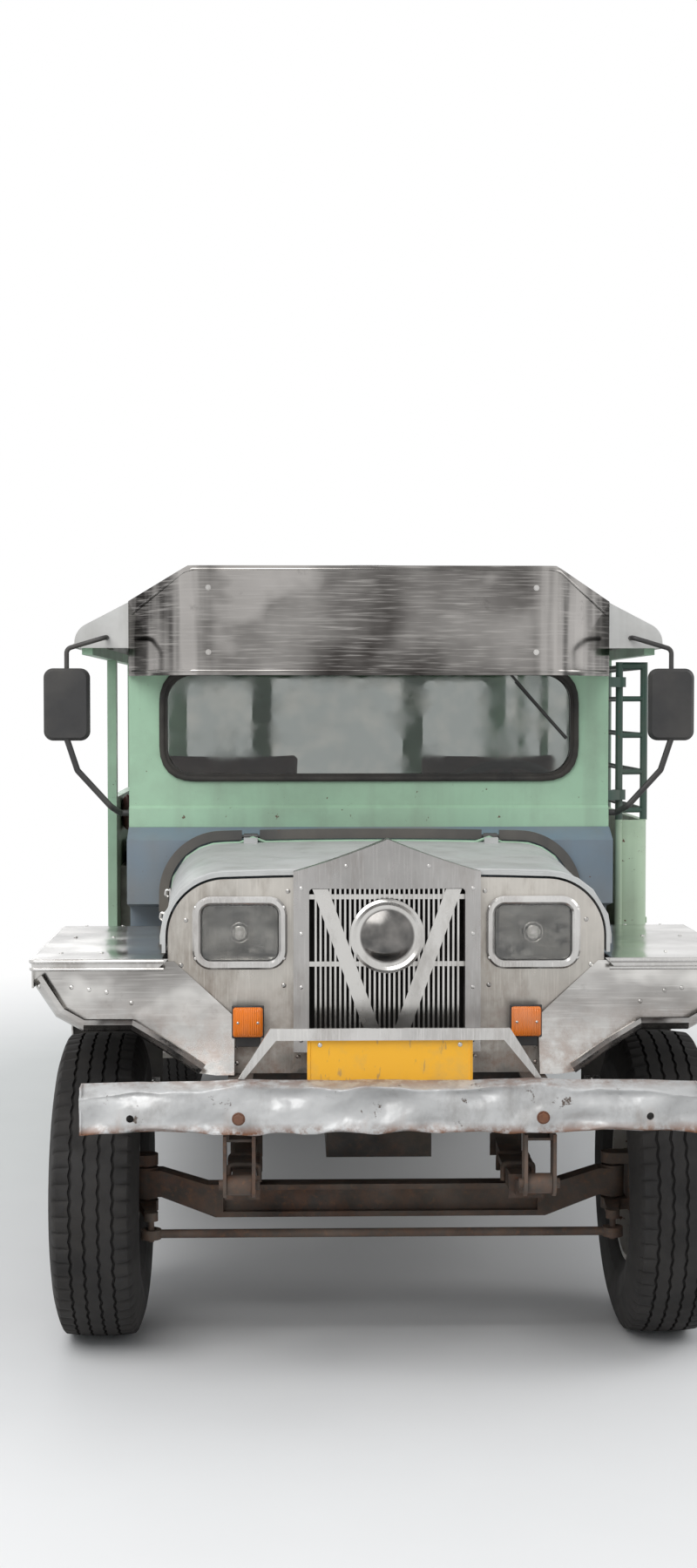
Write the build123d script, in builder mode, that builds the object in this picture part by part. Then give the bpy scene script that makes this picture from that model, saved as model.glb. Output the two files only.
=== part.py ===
from build123d import *

import os
from math import asin, cos, degrees, radians, sin

# A jeepney: an open passenger truck on a ladder frame. Millimetres.
# The origin is on the ground under the middle of the vehicle. The front faces -Y,
# +X is the left side, where the driver sits, and +Z is up.

# Clearances
seat_gap = 0.3          # between pieces that rest on each other
pin_gap = 0.3           # round pins and spindles
running_gap = 6         # round pieces that move

# Wheels and axles
tyre_radius = 388
tyre_width = 220
tread_width = 188
tyre_wall = 12
rim_radius = 203
rim_width = 156
rim_sheet = 7
drum_radius = 150
hub_radius = 48
spindle_radius = 24
track = 1440
wheelbase = 3450
front_axle_y = -2330
rear_axle_y = front_axle_y + wheelbase
kingpin_x = 610
kingpin_radius = 14
boss_radius = 30
boss_height = 80
beam_height = 85
beam_depth = 60
beam_flat_half = 430
beam_web = 16
steering_arm_out = -20
steering_arm_forward = 140
tie_rod_z = 286
tie_rod_radius = 11
axle_tube_radius = 45
differential_radius = 150

# Ladder frame and bumper
rail_x = 355
rail_width = 60
rail_height = 130
rail_bottom = 605
rail_sheet = 6
rail_rear_y = 2780
rail_top = rail_bottom + rail_height
bumper_half = 725
bumper_bottom = 625
bumper_height = 130
bumper_front_y = -2938
bumper_depth = 62
bumper_sheet = 6
bolt_radius = 15
bolt_head = 12
spare_hole_radius = 9
spare_hole_x = 607
rail_front_y = bumper_front_y + bumper_depth + seat_gap

# Leaf springs
spring_width = 58
leaf_thickness = 9
front_spring_half = 530
front_eye_z = 500
front_leaves = 5
rear_spring_half = 620
rear_eye_z = 545
rear_leaves = 6
eye_radius = 24
eye_pin_radius = 12
hanger_sheet = 8

# Front end
nose_y = -2690          # front face of the nose panel
nose_sheet = 14
hood_front_half = 542
hood_front_z = 1226
hood_rear_half = 583
hood_rear_z = 1236
hood_skirt_z = 1030
hood_corner = 150
hood_sheet = 4
hood_rear_y = -1658
radiator_half = 260
radiator_front_y = nose_y + 50
radiator_depth = 70
shell_half = 227
shell_shoulder_z = 1246
shell_apex_z = 1310
shell_bottom_z = 792
shell_depth = 34
shell_ridge = 28
grille_half = 189
grille_top_z = 1190
grille_bottom_z = 806
grille_bars_count = 30
grille_bar_width = 5
grille_bar_depth = 9
v_bar_width = 38
v_bar_depth = 5
boss_disc_radius = 90
boss_disc_z = 1074
lamp_x = 357
lamp_z = 1080
lamp_glass_width = 190
lamp_glass_height = 138
lamp_frame = 20
lamp_corner = 26
turn_lamp_x = 337
turn_lamp_z = 862
turn_lamp_size = 80
plate_half = 195
plate_height = 140
plate_top_z = 858
guard_half = 275
guard_foot_half = 350
guard_z = 860
guard_bar = 14
guard_leg = 7

# Front fenders
fender_inner_x = 545
fender_outer_x = 858
fender_top_z = 1020
fender_front_y = -2722
fender_flat_end_y = -1950
fender_foot_y = -1640
fender_foot_z = 614
fender_sheet = 4
fender_skirt = 70

# Cab and load space
cowl_half = 712
cowl_front_y = -1650
cowl_top_z = 1270
windscreen_y = -1530    # middle of the windscreen frame
windscreen_depth = 40
windscreen_half = cowl_half
glass_opening_half = 622
glass_opening_bottom = 1405
glass_opening_top = 1742
glass_corner = 100
seal_width = 22
seal_depth = 52
glass_thickness = 6
header_z = 1800
firewall_y = -1524
floor_top = 765
floor_bottom = rail_top + seat_gap
side_x = 850            # outer face of the side panels
side_sheet = 30
side_bottom = 620
sill_z = 1320
doorway_rear_y = -700
body_rear_y = 2850
window_top = 1780
post_width = 50
windows_per_side = 4
roof_half = 871
roof_top = 2045
roof_knee_half = 640
roof_knee_z = 1972
roof_shoulder_z = 1852
roof_sheet = 20
roof_front_y = -1560
rear_arch_radius = 470
rear_doorway_half = 330
rear_window_x = 595
rear_step_out = 100
visor_bottom = 1717
visor_top = 2028
visor_front_y = -1800
visor_flat_half = 525
visor_end_top = 1938
visor_sheet = 4

# Driver's door
door_hinge_x = windscreen_half + 41
door_hinge_y = -1492
door_outer_x = 842
door_sheet = 22
door_bottom = 776
door_top = 1285
door_rear_y = -722
guard_top = 1760
guard_tube = 11

# Inside
bench_front_x = 450
bench_board = 18
bench_z = 1078
bench_cushion = 95
bench_front_y = -560
bench_back_height = 150
cab_seat_z = 960
cab_seat_depth = 480
cab_cushion = 105
steering_x = 430
steering_y = -1230
steering_z = 1320
steering_wheel_radius = 200
steering_rake = 45      # of the column from level
column_radius = 22


def front_plane(y):
    """Plane across the vehicle at y: local x is X, local y is Z, and it extrudes forwards."""
    return Plane.XZ.offset(-y)


def side_plane(x):
    """Plane along the vehicle at x: local x is Y, local y is Z, and it extrudes to the left."""
    return Plane.YZ.offset(x)


def keep(piece, name):
    """Label a finished piece and write it as a file of its own."""
    piece.part.label = name
    export_step(piece.part, f"parts/{name}.step")


def slab(x, y, z):
    """A box of the open part, given by its low and high X, Y and Z."""
    with Locations(((x[0] + x[1]) / 2, (y[0] + y[1]) / 2, (z[0] + z[1]) / 2)):
        Box(x[1] - x[0], y[1] - y[0], z[1] - z[0])


def rod(start, end, radius):
    """A round bar of the open part between two points."""
    start = Vector(*start)
    way = Vector(*end) - start
    with BuildSketch(Plane(origin=start, z_dir=way.normalized())) as section:
        Circle(radius)
    extrude(section.sketch, amount=way.length)


os.makedirs("parts", exist_ok=True)


# Chassis

with BuildPart() as frame_rails:
    with BuildSketch(front_plane(rail_rear_y)):
        with Locations((rail_x, rail_bottom + rail_height / 2)):
            Rectangle(rail_width, rail_height)
        # The channel is open towards the middle of the vehicle.
        with Locations((rail_x - rail_sheet, rail_bottom + rail_height / 2)):
            Rectangle(rail_width, rail_height - 2 * rail_sheet, mode=Mode.SUBTRACT)
    extrude(amount=rail_rear_y - rail_front_y)
    mirror(about=Plane.YZ)
keep(frame_rails, "frame_rails")

member_end = rail_x + rail_width / 2 - rail_sheet - seat_gap
member_low = rail_bottom + rail_sheet + seat_gap
member_high = rail_top - rail_sheet - seat_gap
cross_member_y = [-2600, -1220, -200, 620, 1650, 2700]
member_width = 60
with BuildPart() as cross_members:
    for member_y in cross_member_y:
        slab((-member_end, member_end),
             (member_y - member_width / 2, member_y + member_width / 2),
             (member_low, member_high))
keep(cross_members, "cross_members")

beam_seat_z = tyre_radius - 3
with BuildPart() as front_axle_beam:
    # The beam drops between the springs and rises to a boss round each kingpin.
    low = beam_seat_z - beam_height
    rise_x = kingpin_x - 40
    boss_low = tyre_radius - boss_height / 2
    boss_high = tyre_radius + boss_height / 2
    with BuildSketch(front_plane(front_axle_y + beam_depth / 2)):
        with BuildLine():
            Polyline((0, low), (beam_flat_half, low), (rise_x, boss_low + 6), (kingpin_x, boss_low + 6),
                     (kingpin_x, boss_high - 6), (rise_x, boss_high - 6), (beam_flat_half + 20, beam_seat_z),
                     (0, beam_seat_z), close=True)
        make_face()
        mirror(about=Plane.YZ)
    extrude(amount=beam_depth)
    # The pockets leave the web of the I section.
    flange = 14
    for face_y in (front_axle_y - beam_web / 2, front_axle_y + beam_depth / 2):
        with BuildSketch(front_plane(face_y)):
            with Locations((0, (low + beam_seat_z) / 2)):
                Rectangle(2 * beam_flat_half - 40, beam_height - 2 * flange)
        extrude(amount=(beam_depth - beam_web) / 2, mode=Mode.SUBTRACT)
    with Locations((kingpin_x, front_axle_y, tyre_radius), (-kingpin_x, front_axle_y, tyre_radius)):
        Cylinder(boss_radius, boss_height)
        Cylinder(kingpin_radius + pin_gap, boss_height + 2, mode=Mode.SUBTRACT)
keep(front_axle_beam, "front_axle_beam")


def leaf_spring(axle_y, half_length, eye_z, seat_z, leaves):
    """One pack of leaves over an axle: arcs about one centre, each leaf shorter than the one above it."""
    middle_z = seat_z + (leaves - 0.5) * leaf_thickness
    sag = eye_z - middle_z
    radius = (half_length ** 2 + sag ** 2) / (2 * sag)
    centre_z = middle_z + radius
    reach = degrees(asin(half_length / radius))
    with BuildPart() as spring:
        with BuildSketch(side_plane(rail_x - spring_width / 2)):
            for number in range(leaves):
                inner = radius + (number - 0.5) * leaf_thickness
                outer = inner + leaf_thickness
                swing = reach * (1 - number * 0.8 / leaves)
                with BuildLine():
                    top = CenterArc((axle_y, centre_z), inner, -90 - swing, 2 * swing)
                    under = CenterArc((axle_y, centre_z), outer, -90 - swing, 2 * swing)
                    Line(top @ 0, under @ 0)
                    Line(top @ 1, under @ 1)
                make_face()
            with Locations((axle_y - half_length, eye_z), (axle_y + half_length, eye_z)):
                Circle(eye_radius)
                Circle(eye_pin_radius + pin_gap, mode=Mode.SUBTRACT)
        extrude(amount=spring_width)
        # The clamp plate sits on the main leaf over the axle.
        slab((rail_x - spring_width / 2 - 12, rail_x + spring_width / 2 + 12),
             (axle_y - 55, axle_y + 55),
             (middle_z + leaf_thickness / 2 - 1, middle_z + leaf_thickness / 2 + 14))
        mirror(about=Plane.YZ)
    return spring


rear_seat_z = tyre_radius + axle_tube_radius + 12
front_springs = leaf_spring(front_axle_y, front_spring_half, front_eye_z, beam_seat_z + seat_gap, front_leaves)
rear_springs = leaf_spring(rear_axle_y, rear_spring_half, rear_eye_z, rear_seat_z + seat_gap, rear_leaves)
with BuildPart() as leaf_springs:
    add(front_springs.part)
    add(rear_springs.part)
keep(leaf_springs, "leaf_springs")

# Each row holds the Y and Z of a spring eye.
spring_eyes = [
    (front_axle_y - front_spring_half, front_eye_z),
    (front_axle_y + front_spring_half, front_eye_z),
    (rear_axle_y - rear_spring_half, rear_eye_z),
    (rear_axle_y + rear_spring_half, rear_eye_z),
]
with BuildPart() as spring_hangers:
    for eye_y, eye_z in spring_eyes:
        inner_x = rail_x - rail_width / 2
        outer_x = rail_x + rail_width / 2
        for plate_x in (inner_x - hanger_sheet, outer_x):
            with BuildSketch(side_plane(plate_x)):
                with Locations((eye_y, eye_z)):
                    Circle(eye_radius + 6)
                with Locations((eye_y, (eye_z + rail_bottom + 16) / 2)):
                    Rectangle(2 * eye_radius + 12, rail_bottom + 16 - eye_z)
            extrude(amount=hanger_sheet)
        rod((inner_x - hanger_sheet - 10, eye_y, eye_z), (outer_x + hanger_sheet + 10, eye_y, eye_z),
            eye_pin_radius)
    mirror(about=Plane.YZ)
keep(spring_hangers, "spring_hangers")

stub_end = track / 2 + 66
with BuildPart() as rear_axle:
    with BuildSketch(front_plane(rear_axle_y)):
        # Half section of the banjo housing and its tubes, turned about the axle's line.
        with BuildLine():
            Polyline((stub_end, tyre_radius), (stub_end, tyre_radius + spindle_radius),
                             (track / 2 - 40, tyre_radius + spindle_radius),
                             (track / 2 - 40, tyre_radius + axle_tube_radius),
                             (190, tyre_radius + axle_tube_radius),
                             (110, tyre_radius + differential_radius * 0.8),
                             (50, tyre_radius + differential_radius),
                             (0, tyre_radius + differential_radius), (0, tyre_radius), close=True)
        make_face()
        mirror(about=Plane.YZ)
    revolve(axis=Axis((0, rear_axle_y, tyre_radius), (1, 0, 0)))
    # Pinion nose
    rod((0, rear_axle_y, tyre_radius + 10), (0, rear_axle_y - 230, tyre_radius + 10), 62)
    for spring_x in (-rail_x, rail_x):
        slab((spring_x - spring_width / 2, spring_x + spring_width / 2), (rear_axle_y - 55, rear_axle_y + 55),
             (tyre_radius, rear_seat_z))
keep(rear_axle, "rear_axle")

engine_half = 215
gearbox_half = 115
engine_front_y = -2440
engine_rear_y = -1700
gearbox_rear_y = -1300
shaft_z = 545
with BuildPart() as engine_block:
    slab((-engine_half, engine_half), (engine_front_y, engine_rear_y), (560, 1080))
    # Sump, which hangs behind the front axle
    slab((-140, 140), (front_axle_y + 90, engine_rear_y - 60), (430, 560))
    slab((-gearbox_half, gearbox_half), (engine_rear_y, gearbox_rear_y), (470, rail_top - 20))
    # Mounting arms reach into the rails.
    slab((-member_end, member_end), (-2130, -2060), (640, 700))
keep(engine_block, "engine_block")

shaft_radius = 34
pinion_y = rear_axle_y - 230
with BuildPart() as propeller_shaft:
    rod((0, gearbox_rear_y + seat_gap, shaft_z), (0, pinion_y - seat_gap, tyre_radius + 10), shaft_radius)
    with BuildSketch(front_plane(gearbox_rear_y + seat_gap + 30)):
        with Locations((0, shaft_z)):
            Circle(52)
    extrude(amount=30)
    with BuildSketch(front_plane(pinion_y - seat_gap)):
        with Locations((0, tyre_radius + 10)):
            Circle(52)
    extrude(amount=30)
    # The shaft's ends are cut flush with the two flanges.
    split(bisect_by=front_plane(gearbox_rear_y + seat_gap), keep=Keep.BOTTOM)
    split(bisect_by=front_plane(pinion_y - seat_gap), keep=Keep.TOP)
keep(propeller_shaft, "propeller_shaft")

pipe_radius = 24
pipe_x = -252
pipe_z = 530
port_y = -1900
port_z = 600
with BuildPart() as exhaust:
    # The pipe leaves the engine's right side and ends under the right sill, ahead of the rear wheel.
    with BuildLine() as route:
        FilletPolyline((-engine_half - seat_gap, port_y, port_z), (pipe_x, port_y, port_z),
                       (pipe_x, port_y + 200, pipe_z), (pipe_x, 330, pipe_z), (-side_x + 10, 430, pipe_z),
                       radius=[30, 60, 90])
    with BuildSketch(Plane(origin=route.line @ 0, z_dir=route.line % 0)):
        Circle(pipe_radius)
    sweep(path=route.line)
    with Locations(Location((pipe_x, -400, pipe_z), (90, 0, 0))):
        Cylinder(72, 560)
keep(exhaust, "exhaust")

with BuildPart() as fuel_tank:
    slab((rail_x + rail_width / 2 + seat_gap, 800), (-180, 420), (470, floor_bottom - seat_gap))
    fillet(fuel_tank.edges().filter_by(Axis.Y), radius=30)
keep(fuel_tank, "fuel_tank")

with BuildPart() as radiator:
    slab((-radiator_half, radiator_half), (radiator_front_y, radiator_front_y + radiator_depth),
         (member_high + seat_gap, grille_top_z - 5))
keep(radiator, "radiator")


# Steering

knuckle_face_x = kingpin_x + boss_radius + running_gap
yoke_sheet = 26
yoke_arm = 28
backing_x = knuckle_face_x + yoke_sheet
backing_sheet = 6
spindle_end_x = track / 2 + 66
arm_height = 22
arm_top_z = tyre_radius - boss_height / 2 - running_gap
ball_x = kingpin_x + steering_arm_out
ball_y = front_axle_y - steering_arm_forward
ball_pin_radius = 8
eye_height = 24
open_eye_play = 7       # the right eye drifts round its pin over the travel


def knuckle(side):
    """The yoke, kingpin, spindle and steering arm of one front wheel: side is 1 on the left."""
    with BuildPart() as piece:
        middle = (kingpin_x, front_axle_y, tyre_radius)
        yoke_half = boss_height / 2 + running_gap + yoke_arm
        slab((knuckle_face_x, backing_x), (front_axle_y - 36, front_axle_y + 36),
             (tyre_radius - yoke_half, tyre_radius + yoke_half))
        for low in (tyre_radius - yoke_half, tyre_radius + yoke_half - yoke_arm):
            with BuildSketch(Plane.XY.offset(low)):
                with Locations((kingpin_x, front_axle_y)):
                    Circle(boss_radius)
                with Locations(((kingpin_x + backing_x) / 2, front_axle_y)):
                    Rectangle(backing_x - kingpin_x, 2 * boss_radius)
            extrude(amount=yoke_arm)
        with Locations(middle):
            Cylinder(kingpin_radius, 2 * yoke_half)
        rod((backing_x - 2, front_axle_y, tyre_radius), (spindle_end_x, front_axle_y, tyre_radius),
            spindle_radius)
        rod((backing_x, front_axle_y, tyre_radius), (backing_x + backing_sheet, front_axle_y, tyre_radius),
            drum_radius + 8)
        # The steering arm reaches forwards under the beam's end and holds the ball pin.
        with BuildSketch(Plane.XY.offset(arm_top_z - arm_height)):
            with BuildLine():
                Polyline((kingpin_x - 24, front_axle_y), (ball_x - 14, ball_y), (ball_x + 14, ball_y),
                         (kingpin_x + 24, front_axle_y), close=True)
            make_face()
            with Locations((ball_x, ball_y)):
                Circle(18)
        extrude(amount=arm_height)
        with BuildSketch(Plane.XY.offset(tie_rod_z - eye_height / 2 - 8)):
            with Locations((ball_x, ball_y)):
                Circle(ball_pin_radius)
        extrude(amount=arm_top_z - arm_height - (tie_rod_z - eye_height / 2 - 8))
    return piece if side > 0 else mirrored(piece)


def mirrored(piece):
    """The same piece on the other side of the vehicle."""
    with BuildPart() as other:
        add(piece.part.mirror(Plane.YZ))
    return other


knuckle_left = knuckle(1)
keep(knuckle_left, "knuckle_left")
knuckle_right = knuckle(-1)
keep(knuckle_right, "knuckle_right")

with BuildPart() as tie_rod:
    rod((-ball_x + 8, ball_y, tie_rod_z), (ball_x - 8, ball_y, tie_rod_z), tie_rod_radius)
    with BuildSketch(Plane.XY.offset(tie_rod_z - eye_height / 2)):
        with Locations((-ball_x, ball_y), (ball_x, ball_y)):
            Circle(26)
    extrude(amount=eye_height)
    with Locations((ball_x, ball_y, tie_rod_z)):
        Cylinder(ball_pin_radius + pin_gap, 2 * eye_height, mode=Mode.SUBTRACT)
    with Locations((-ball_x, ball_y, tie_rod_z)):
        Cylinder(ball_pin_radius + open_eye_play, 2 * eye_height, mode=Mode.SUBTRACT)
keep(tie_rod, "tie_rod")


# Wheels

tread_arc = 880         # radius of the tread's crown, seen along the vehicle
bead_half = rim_width / 2 - rim_sheet - seat_gap
flange_radius = rim_radius + 13
widest_radius = rim_radius + 0.48 * (tyre_radius - rim_radius)


def tyre_outline(inset):
    """Half of the tyre's section, from its middle to its bead, in local U (outwards) and R (radius)."""
    crown = tyre_radius - inset
    with BuildLine() as line:
        half = tread_width / 2 - inset
        tread = CenterArc((0, crown - tread_arc), tread_arc, 90, -degrees(asin(half / tread_arc)))
        shoulder = Line(tread @ 1, (half + 5, crown - 22))
        wall = ThreePointArc(shoulder @ 1, (tyre_width / 2 - inset, widest_radius),
                             (bead_half - inset, flange_radius + 6))
        Line(wall @ 1, (bead_half - inset, rim_radius + seat_gap))
        Line((bead_half - inset, rim_radius + seat_gap), (0, rim_radius + seat_gap))
        Line((0, rim_radius + seat_gap), (0, crown))
    return line


def tyre(side, axle_y):
    """One tyre as a hollow carcass, turned about its axle's line."""
    with BuildPart() as piece:
        with BuildSketch(Plane(origin=(track / 2, axle_y, tyre_radius), x_dir=(1, 0, 0), z_dir=(0, -1, 0))):
            add(make_face(tyre_outline(0).edges(), mode=Mode.PRIVATE))
            add(make_face(tyre_outline(tyre_wall).edges(), mode=Mode.PRIVATE), mode=Mode.SUBTRACT)
            mirror(about=Plane.YZ)
        revolve(axis=Axis((0, axle_y, tyre_radius), (1, 0, 0)))
    return piece if side > 0 else mirrored(piece)


disc_u = 22             # outer face of the wheel disc from the wheel's middle
disc_sheet = 9
hub_end_u = 82


def rim(side, axle_y):
    """One wheel: a dropped-centre rim, a disc with hand holes, the hub and the brake drum behind it."""
    half = rim_width / 2
    well = rim_radius - 22
    with BuildPart() as piece:
        with BuildSketch(Plane(origin=(track / 2, axle_y, tyre_radius), x_dir=(1, 0, 0), z_dir=(0, -1, 0))):
            # Rim
            with BuildLine():
                Polyline((-half, flange_radius), (-half, rim_radius - rim_sheet), (-half + 38, rim_radius - rim_sheet),
                         (-half + 52, well), (half - 52, well), (half - 38, rim_radius - rim_sheet),
                         (half, rim_radius - rim_sheet), (half, flange_radius), (half - rim_sheet, flange_radius),
                         (half - rim_sheet, rim_radius), (half - 36, rim_radius), (half - 50, well + rim_sheet),
                         (-half + 50, well + rim_sheet), (-half + 36, rim_radius), (-half + rim_sheet, rim_radius),
                         (-half + rim_sheet, flange_radius), close=True)
            make_face()
            # Dished disc
            with BuildLine():
                Polyline((disc_u - disc_sheet, 30), (disc_u - disc_sheet, 100), (disc_u + 10, 140),
                         (half - 62, well + 1), (half - 50, well + 1), (disc_u + 20, 140), (disc_u, 96),
                         (disc_u, 30), close=True)
            make_face()
            # Hub with its cap
            with BuildLine():
                Polyline((-36, spindle_radius + pin_gap), (-36, hub_radius), (disc_u + 10, hub_radius),
                         (disc_u + 40, hub_radius - 6), (hub_end_u, hub_radius - 16), (hub_end_u, 0),
                         (hub_end_u - 8, 0), (hub_end_u - 8, spindle_radius + pin_gap), close=True)
            make_face()
            # Drum, open towards the backing plate
            drum_inner_u = backing_x + backing_sheet + running_gap - track / 2
            with BuildLine():
                Polyline((drum_inner_u, drum_radius - 10), (drum_inner_u, drum_radius),
                         (disc_u - disc_sheet, drum_radius - 22), (disc_u - disc_sheet, 30),
                         (disc_u - disc_sheet - 8, 30), (disc_u - disc_sheet - 8, drum_radius - 34),
                         close=True)
            make_face()
        revolve(axis=Axis((0, axle_y, tyre_radius), (1, 0, 0)))
        # Hand holes round the disc and wheel nuts round the hub
        with BuildSketch(side_plane(track / 2 + disc_u + 4)):
            with Locations((axle_y, tyre_radius)):
                with PolarLocations(153, 8):
                    SlotOverall(44, 22, rotation=90)
        extrude(amount=30, mode=Mode.SUBTRACT)
        with BuildSketch(side_plane(track / 2 + disc_u - 1)):
            with Locations((axle_y, tyre_radius)):
                with PolarLocations(72, 6):
                    RegularPolygon(13, 6)
        extrude(amount=18)
    return piece if side > 0 else mirrored(piece)


# Each row holds the name of a wheel's place, its side and its axle's Y.
wheel_places = [
    ("front_left", 1, front_axle_y),
    ("front_right", -1, front_axle_y),
    ("rear_left", 1, rear_axle_y),
    ("rear_right", -1, rear_axle_y),
]
for place, side, axle_y in wheel_places:
    keep(tyre(side, axle_y), f"tyre_{place}")
    keep(rim(side, axle_y), f"wheel_{place}")


# Bumper and plate

bumper_back_y = bumper_front_y + bumper_depth
bumper_top = bumper_bottom + bumper_height
bumper_bolt_z = bumper_bottom + 47
with BuildPart() as front_bumper:
    with BuildSketch(side_plane(-bumper_half)):
        with Locations(((bumper_front_y + bumper_back_y) / 2, bumper_bottom + bumper_height / 2)):
            Rectangle(bumper_depth, bumper_height)
        with Locations(((bumper_front_y + bumper_back_y) / 2 + bumper_sheet, bumper_bottom + bumper_height / 2)):
            Rectangle(bumper_depth, bumper_height - 2 * bumper_sheet, mode=Mode.SUBTRACT)
    extrude(amount=2 * bumper_half)
    fillet(front_bumper.edges().filter_by(Axis.X).group_by(Axis.Y)[0], radius=bumper_sheet)
    for end_x in (-bumper_half, bumper_half - bumper_sheet):
        slab((end_x, end_x + bumper_sheet), (bumper_front_y + bumper_sheet, bumper_back_y),
             (bumper_bottom + 1, bumper_top - 1))
    for bolt_x in (-rail_x, rail_x):
        rod((bolt_x, bumper_front_y + 2, bumper_bolt_z), (bolt_x, bumper_front_y - bolt_head, bumper_bolt_z),
            bolt_radius)
    with BuildSketch(front_plane(bumper_front_y + 2 * bumper_sheet)):
        with Locations((-spare_hole_x, bumper_bolt_z), (spare_hole_x, bumper_bolt_z)):
            Circle(spare_hole_radius)
    extrude(amount=3 * bumper_sheet, mode=Mode.SUBTRACT)
keep(front_bumper, "front_bumper")

guard_depth = 10
foot_z = bumper_top + seat_gap
with BuildPart() as plate_guard:
    with BuildSketch(front_plane(bumper_back_y)):
        with BuildLine():
            Polyline((-guard_foot_half - guard_leg, foot_z), (-guard_half - guard_leg, guard_z + guard_bar),
                     (guard_half + guard_leg, guard_z + guard_bar), (guard_foot_half + guard_leg, foot_z),
                     (guard_foot_half - guard_leg, foot_z), (guard_half - guard_leg, guard_z - guard_bar),
                     (guard_leg - guard_half, guard_z - guard_bar), (guard_leg - guard_foot_half, foot_z),
                     close=True)
        make_face()
    extrude(amount=guard_depth)
keep(plate_guard, "plate_guard")

plate_sheet = 3
with BuildPart() as number_plate:
    with BuildSketch(front_plane(bumper_back_y + seat_gap + plate_sheet)):
        with Locations((0, plate_top_z - plate_height / 2)):
            RectangleRounded(2 * plate_half, plate_height, 12)
    extrude(amount=plate_sheet)
keep(number_plate, "number_plate")


# Nose and grille

nose_gap = hood_sheet + running_gap
nose_half = hood_front_half - nose_gap
nose_top_z = hood_front_z - nose_gap
nose_waist_half = 385
nose_waist_z = 868
nose_bottom_z = rail_top + seat_gap
hood_crown = 12
with BuildPart() as nose_panel:
    with BuildSketch(front_plane(nose_y + nose_sheet)):
        with BuildLine():
            ThreePointArc((-nose_half, nose_top_z - hood_crown), (0, nose_top_z),
                          (nose_half, nose_top_z - hood_crown))
            Polyline((nose_half, nose_top_z - hood_crown), (nose_half, hood_skirt_z - 30),
                     (nose_waist_half, nose_waist_z), (nose_waist_half, nose_bottom_z),
                     (-nose_waist_half, nose_bottom_z), (-nose_waist_half, nose_waist_z),
                     (-nose_half, hood_skirt_z - 30), (-nose_half, nose_top_z - hood_crown))
        face = make_face()
        fillet(face.vertices().group_by(Axis.Y)[-1], radius=hood_corner - nose_gap)
        with Locations((0, (grille_bottom_z + grille_top_z) / 2)):
            Rectangle(2 * grille_half, grille_top_z - grille_bottom_z, mode=Mode.SUBTRACT)
    extrude(amount=nose_sheet)
keep(nose_panel, "nose_panel")

shell_back_y = nose_y - seat_gap
with BuildPart() as grille_shell:
    # The outline rises to a point, and the front folds along a ridge on the middle line.
    with BuildSketch(front_plane(shell_back_y)):
        with BuildLine():
            peak_left = ThreePointArc((-shell_half, shell_shoulder_z - 16), (-shell_half / 2, shell_apex_z - 44),
                                      (0, shell_apex_z))
            ThreePointArc((0, shell_apex_z), (shell_half / 2, shell_apex_z - 44),
                          (shell_half, shell_shoulder_z - 16))
            Polyline((shell_half, shell_shoulder_z - 16), (shell_half, shell_bottom_z),
                     (-shell_half, shell_bottom_z), peak_left @ 0)
        make_face()
        with Locations((0, (grille_bottom_z + grille_top_z) / 2)):
            RectangleRounded(2 * grille_half, grille_top_z - grille_bottom_z, 10, mode=Mode.SUBTRACT)
    extrude(amount=shell_depth + shell_ridge)
    with BuildSketch(Plane.XY.offset(shell_bottom_z - 10)):
        with BuildLine():
            Polyline((-shell_half, shell_back_y), (shell_half, shell_back_y),
                     (shell_half, shell_back_y - shell_depth), (0, shell_back_y - shell_depth - shell_ridge),
                     (-shell_half, shell_back_y - shell_depth), close=True)
        make_face()
    extrude(amount=shell_apex_z - shell_bottom_z + 20, mode=Mode.INTERSECT)
keep(grille_shell, "grille_shell")

bars_half = grille_half - 16
bars_back_y = shell_back_y - 6
bars_low = grille_bottom_z + seat_gap
bars_high = grille_top_z - seat_gap
bars_front_y = bars_back_y - 2 * grille_bar_depth
with BuildPart() as grille_bars:
    # Upright bars on two cross rails
    for rail_z in (bars_low + 16, (bars_low + bars_high) / 2, bars_high - 16 - 12):
        slab((-grille_half + seat_gap, grille_half - seat_gap), (bars_back_y - grille_bar_depth, bars_back_y),
             (rail_z, rail_z + 12))
    with BuildSketch(front_plane(bars_back_y - grille_bar_depth + 1)):
        with Locations((0, (bars_low + bars_high) / 2)):
            with GridLocations(2 * bars_half / (grille_bars_count - 1), 1, grille_bars_count, 1):
                Rectangle(grille_bar_width, bars_high - bars_low - 4)
    extrude(amount=grille_bar_depth + 1)
    # Two flat bars in a V lie over them.
    with BuildSketch(front_plane(bars_front_y)):
        with BuildLine():
            Polyline((grille_half - 8, bars_high - 2), (grille_half - 8 - v_bar_width, bars_high - 2),
                     (4, bars_low + 2), (4 + v_bar_width, bars_low + 2), close=True)
        make_face()
        mirror(about=Plane.YZ)
    extrude(amount=v_bar_depth)

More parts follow.
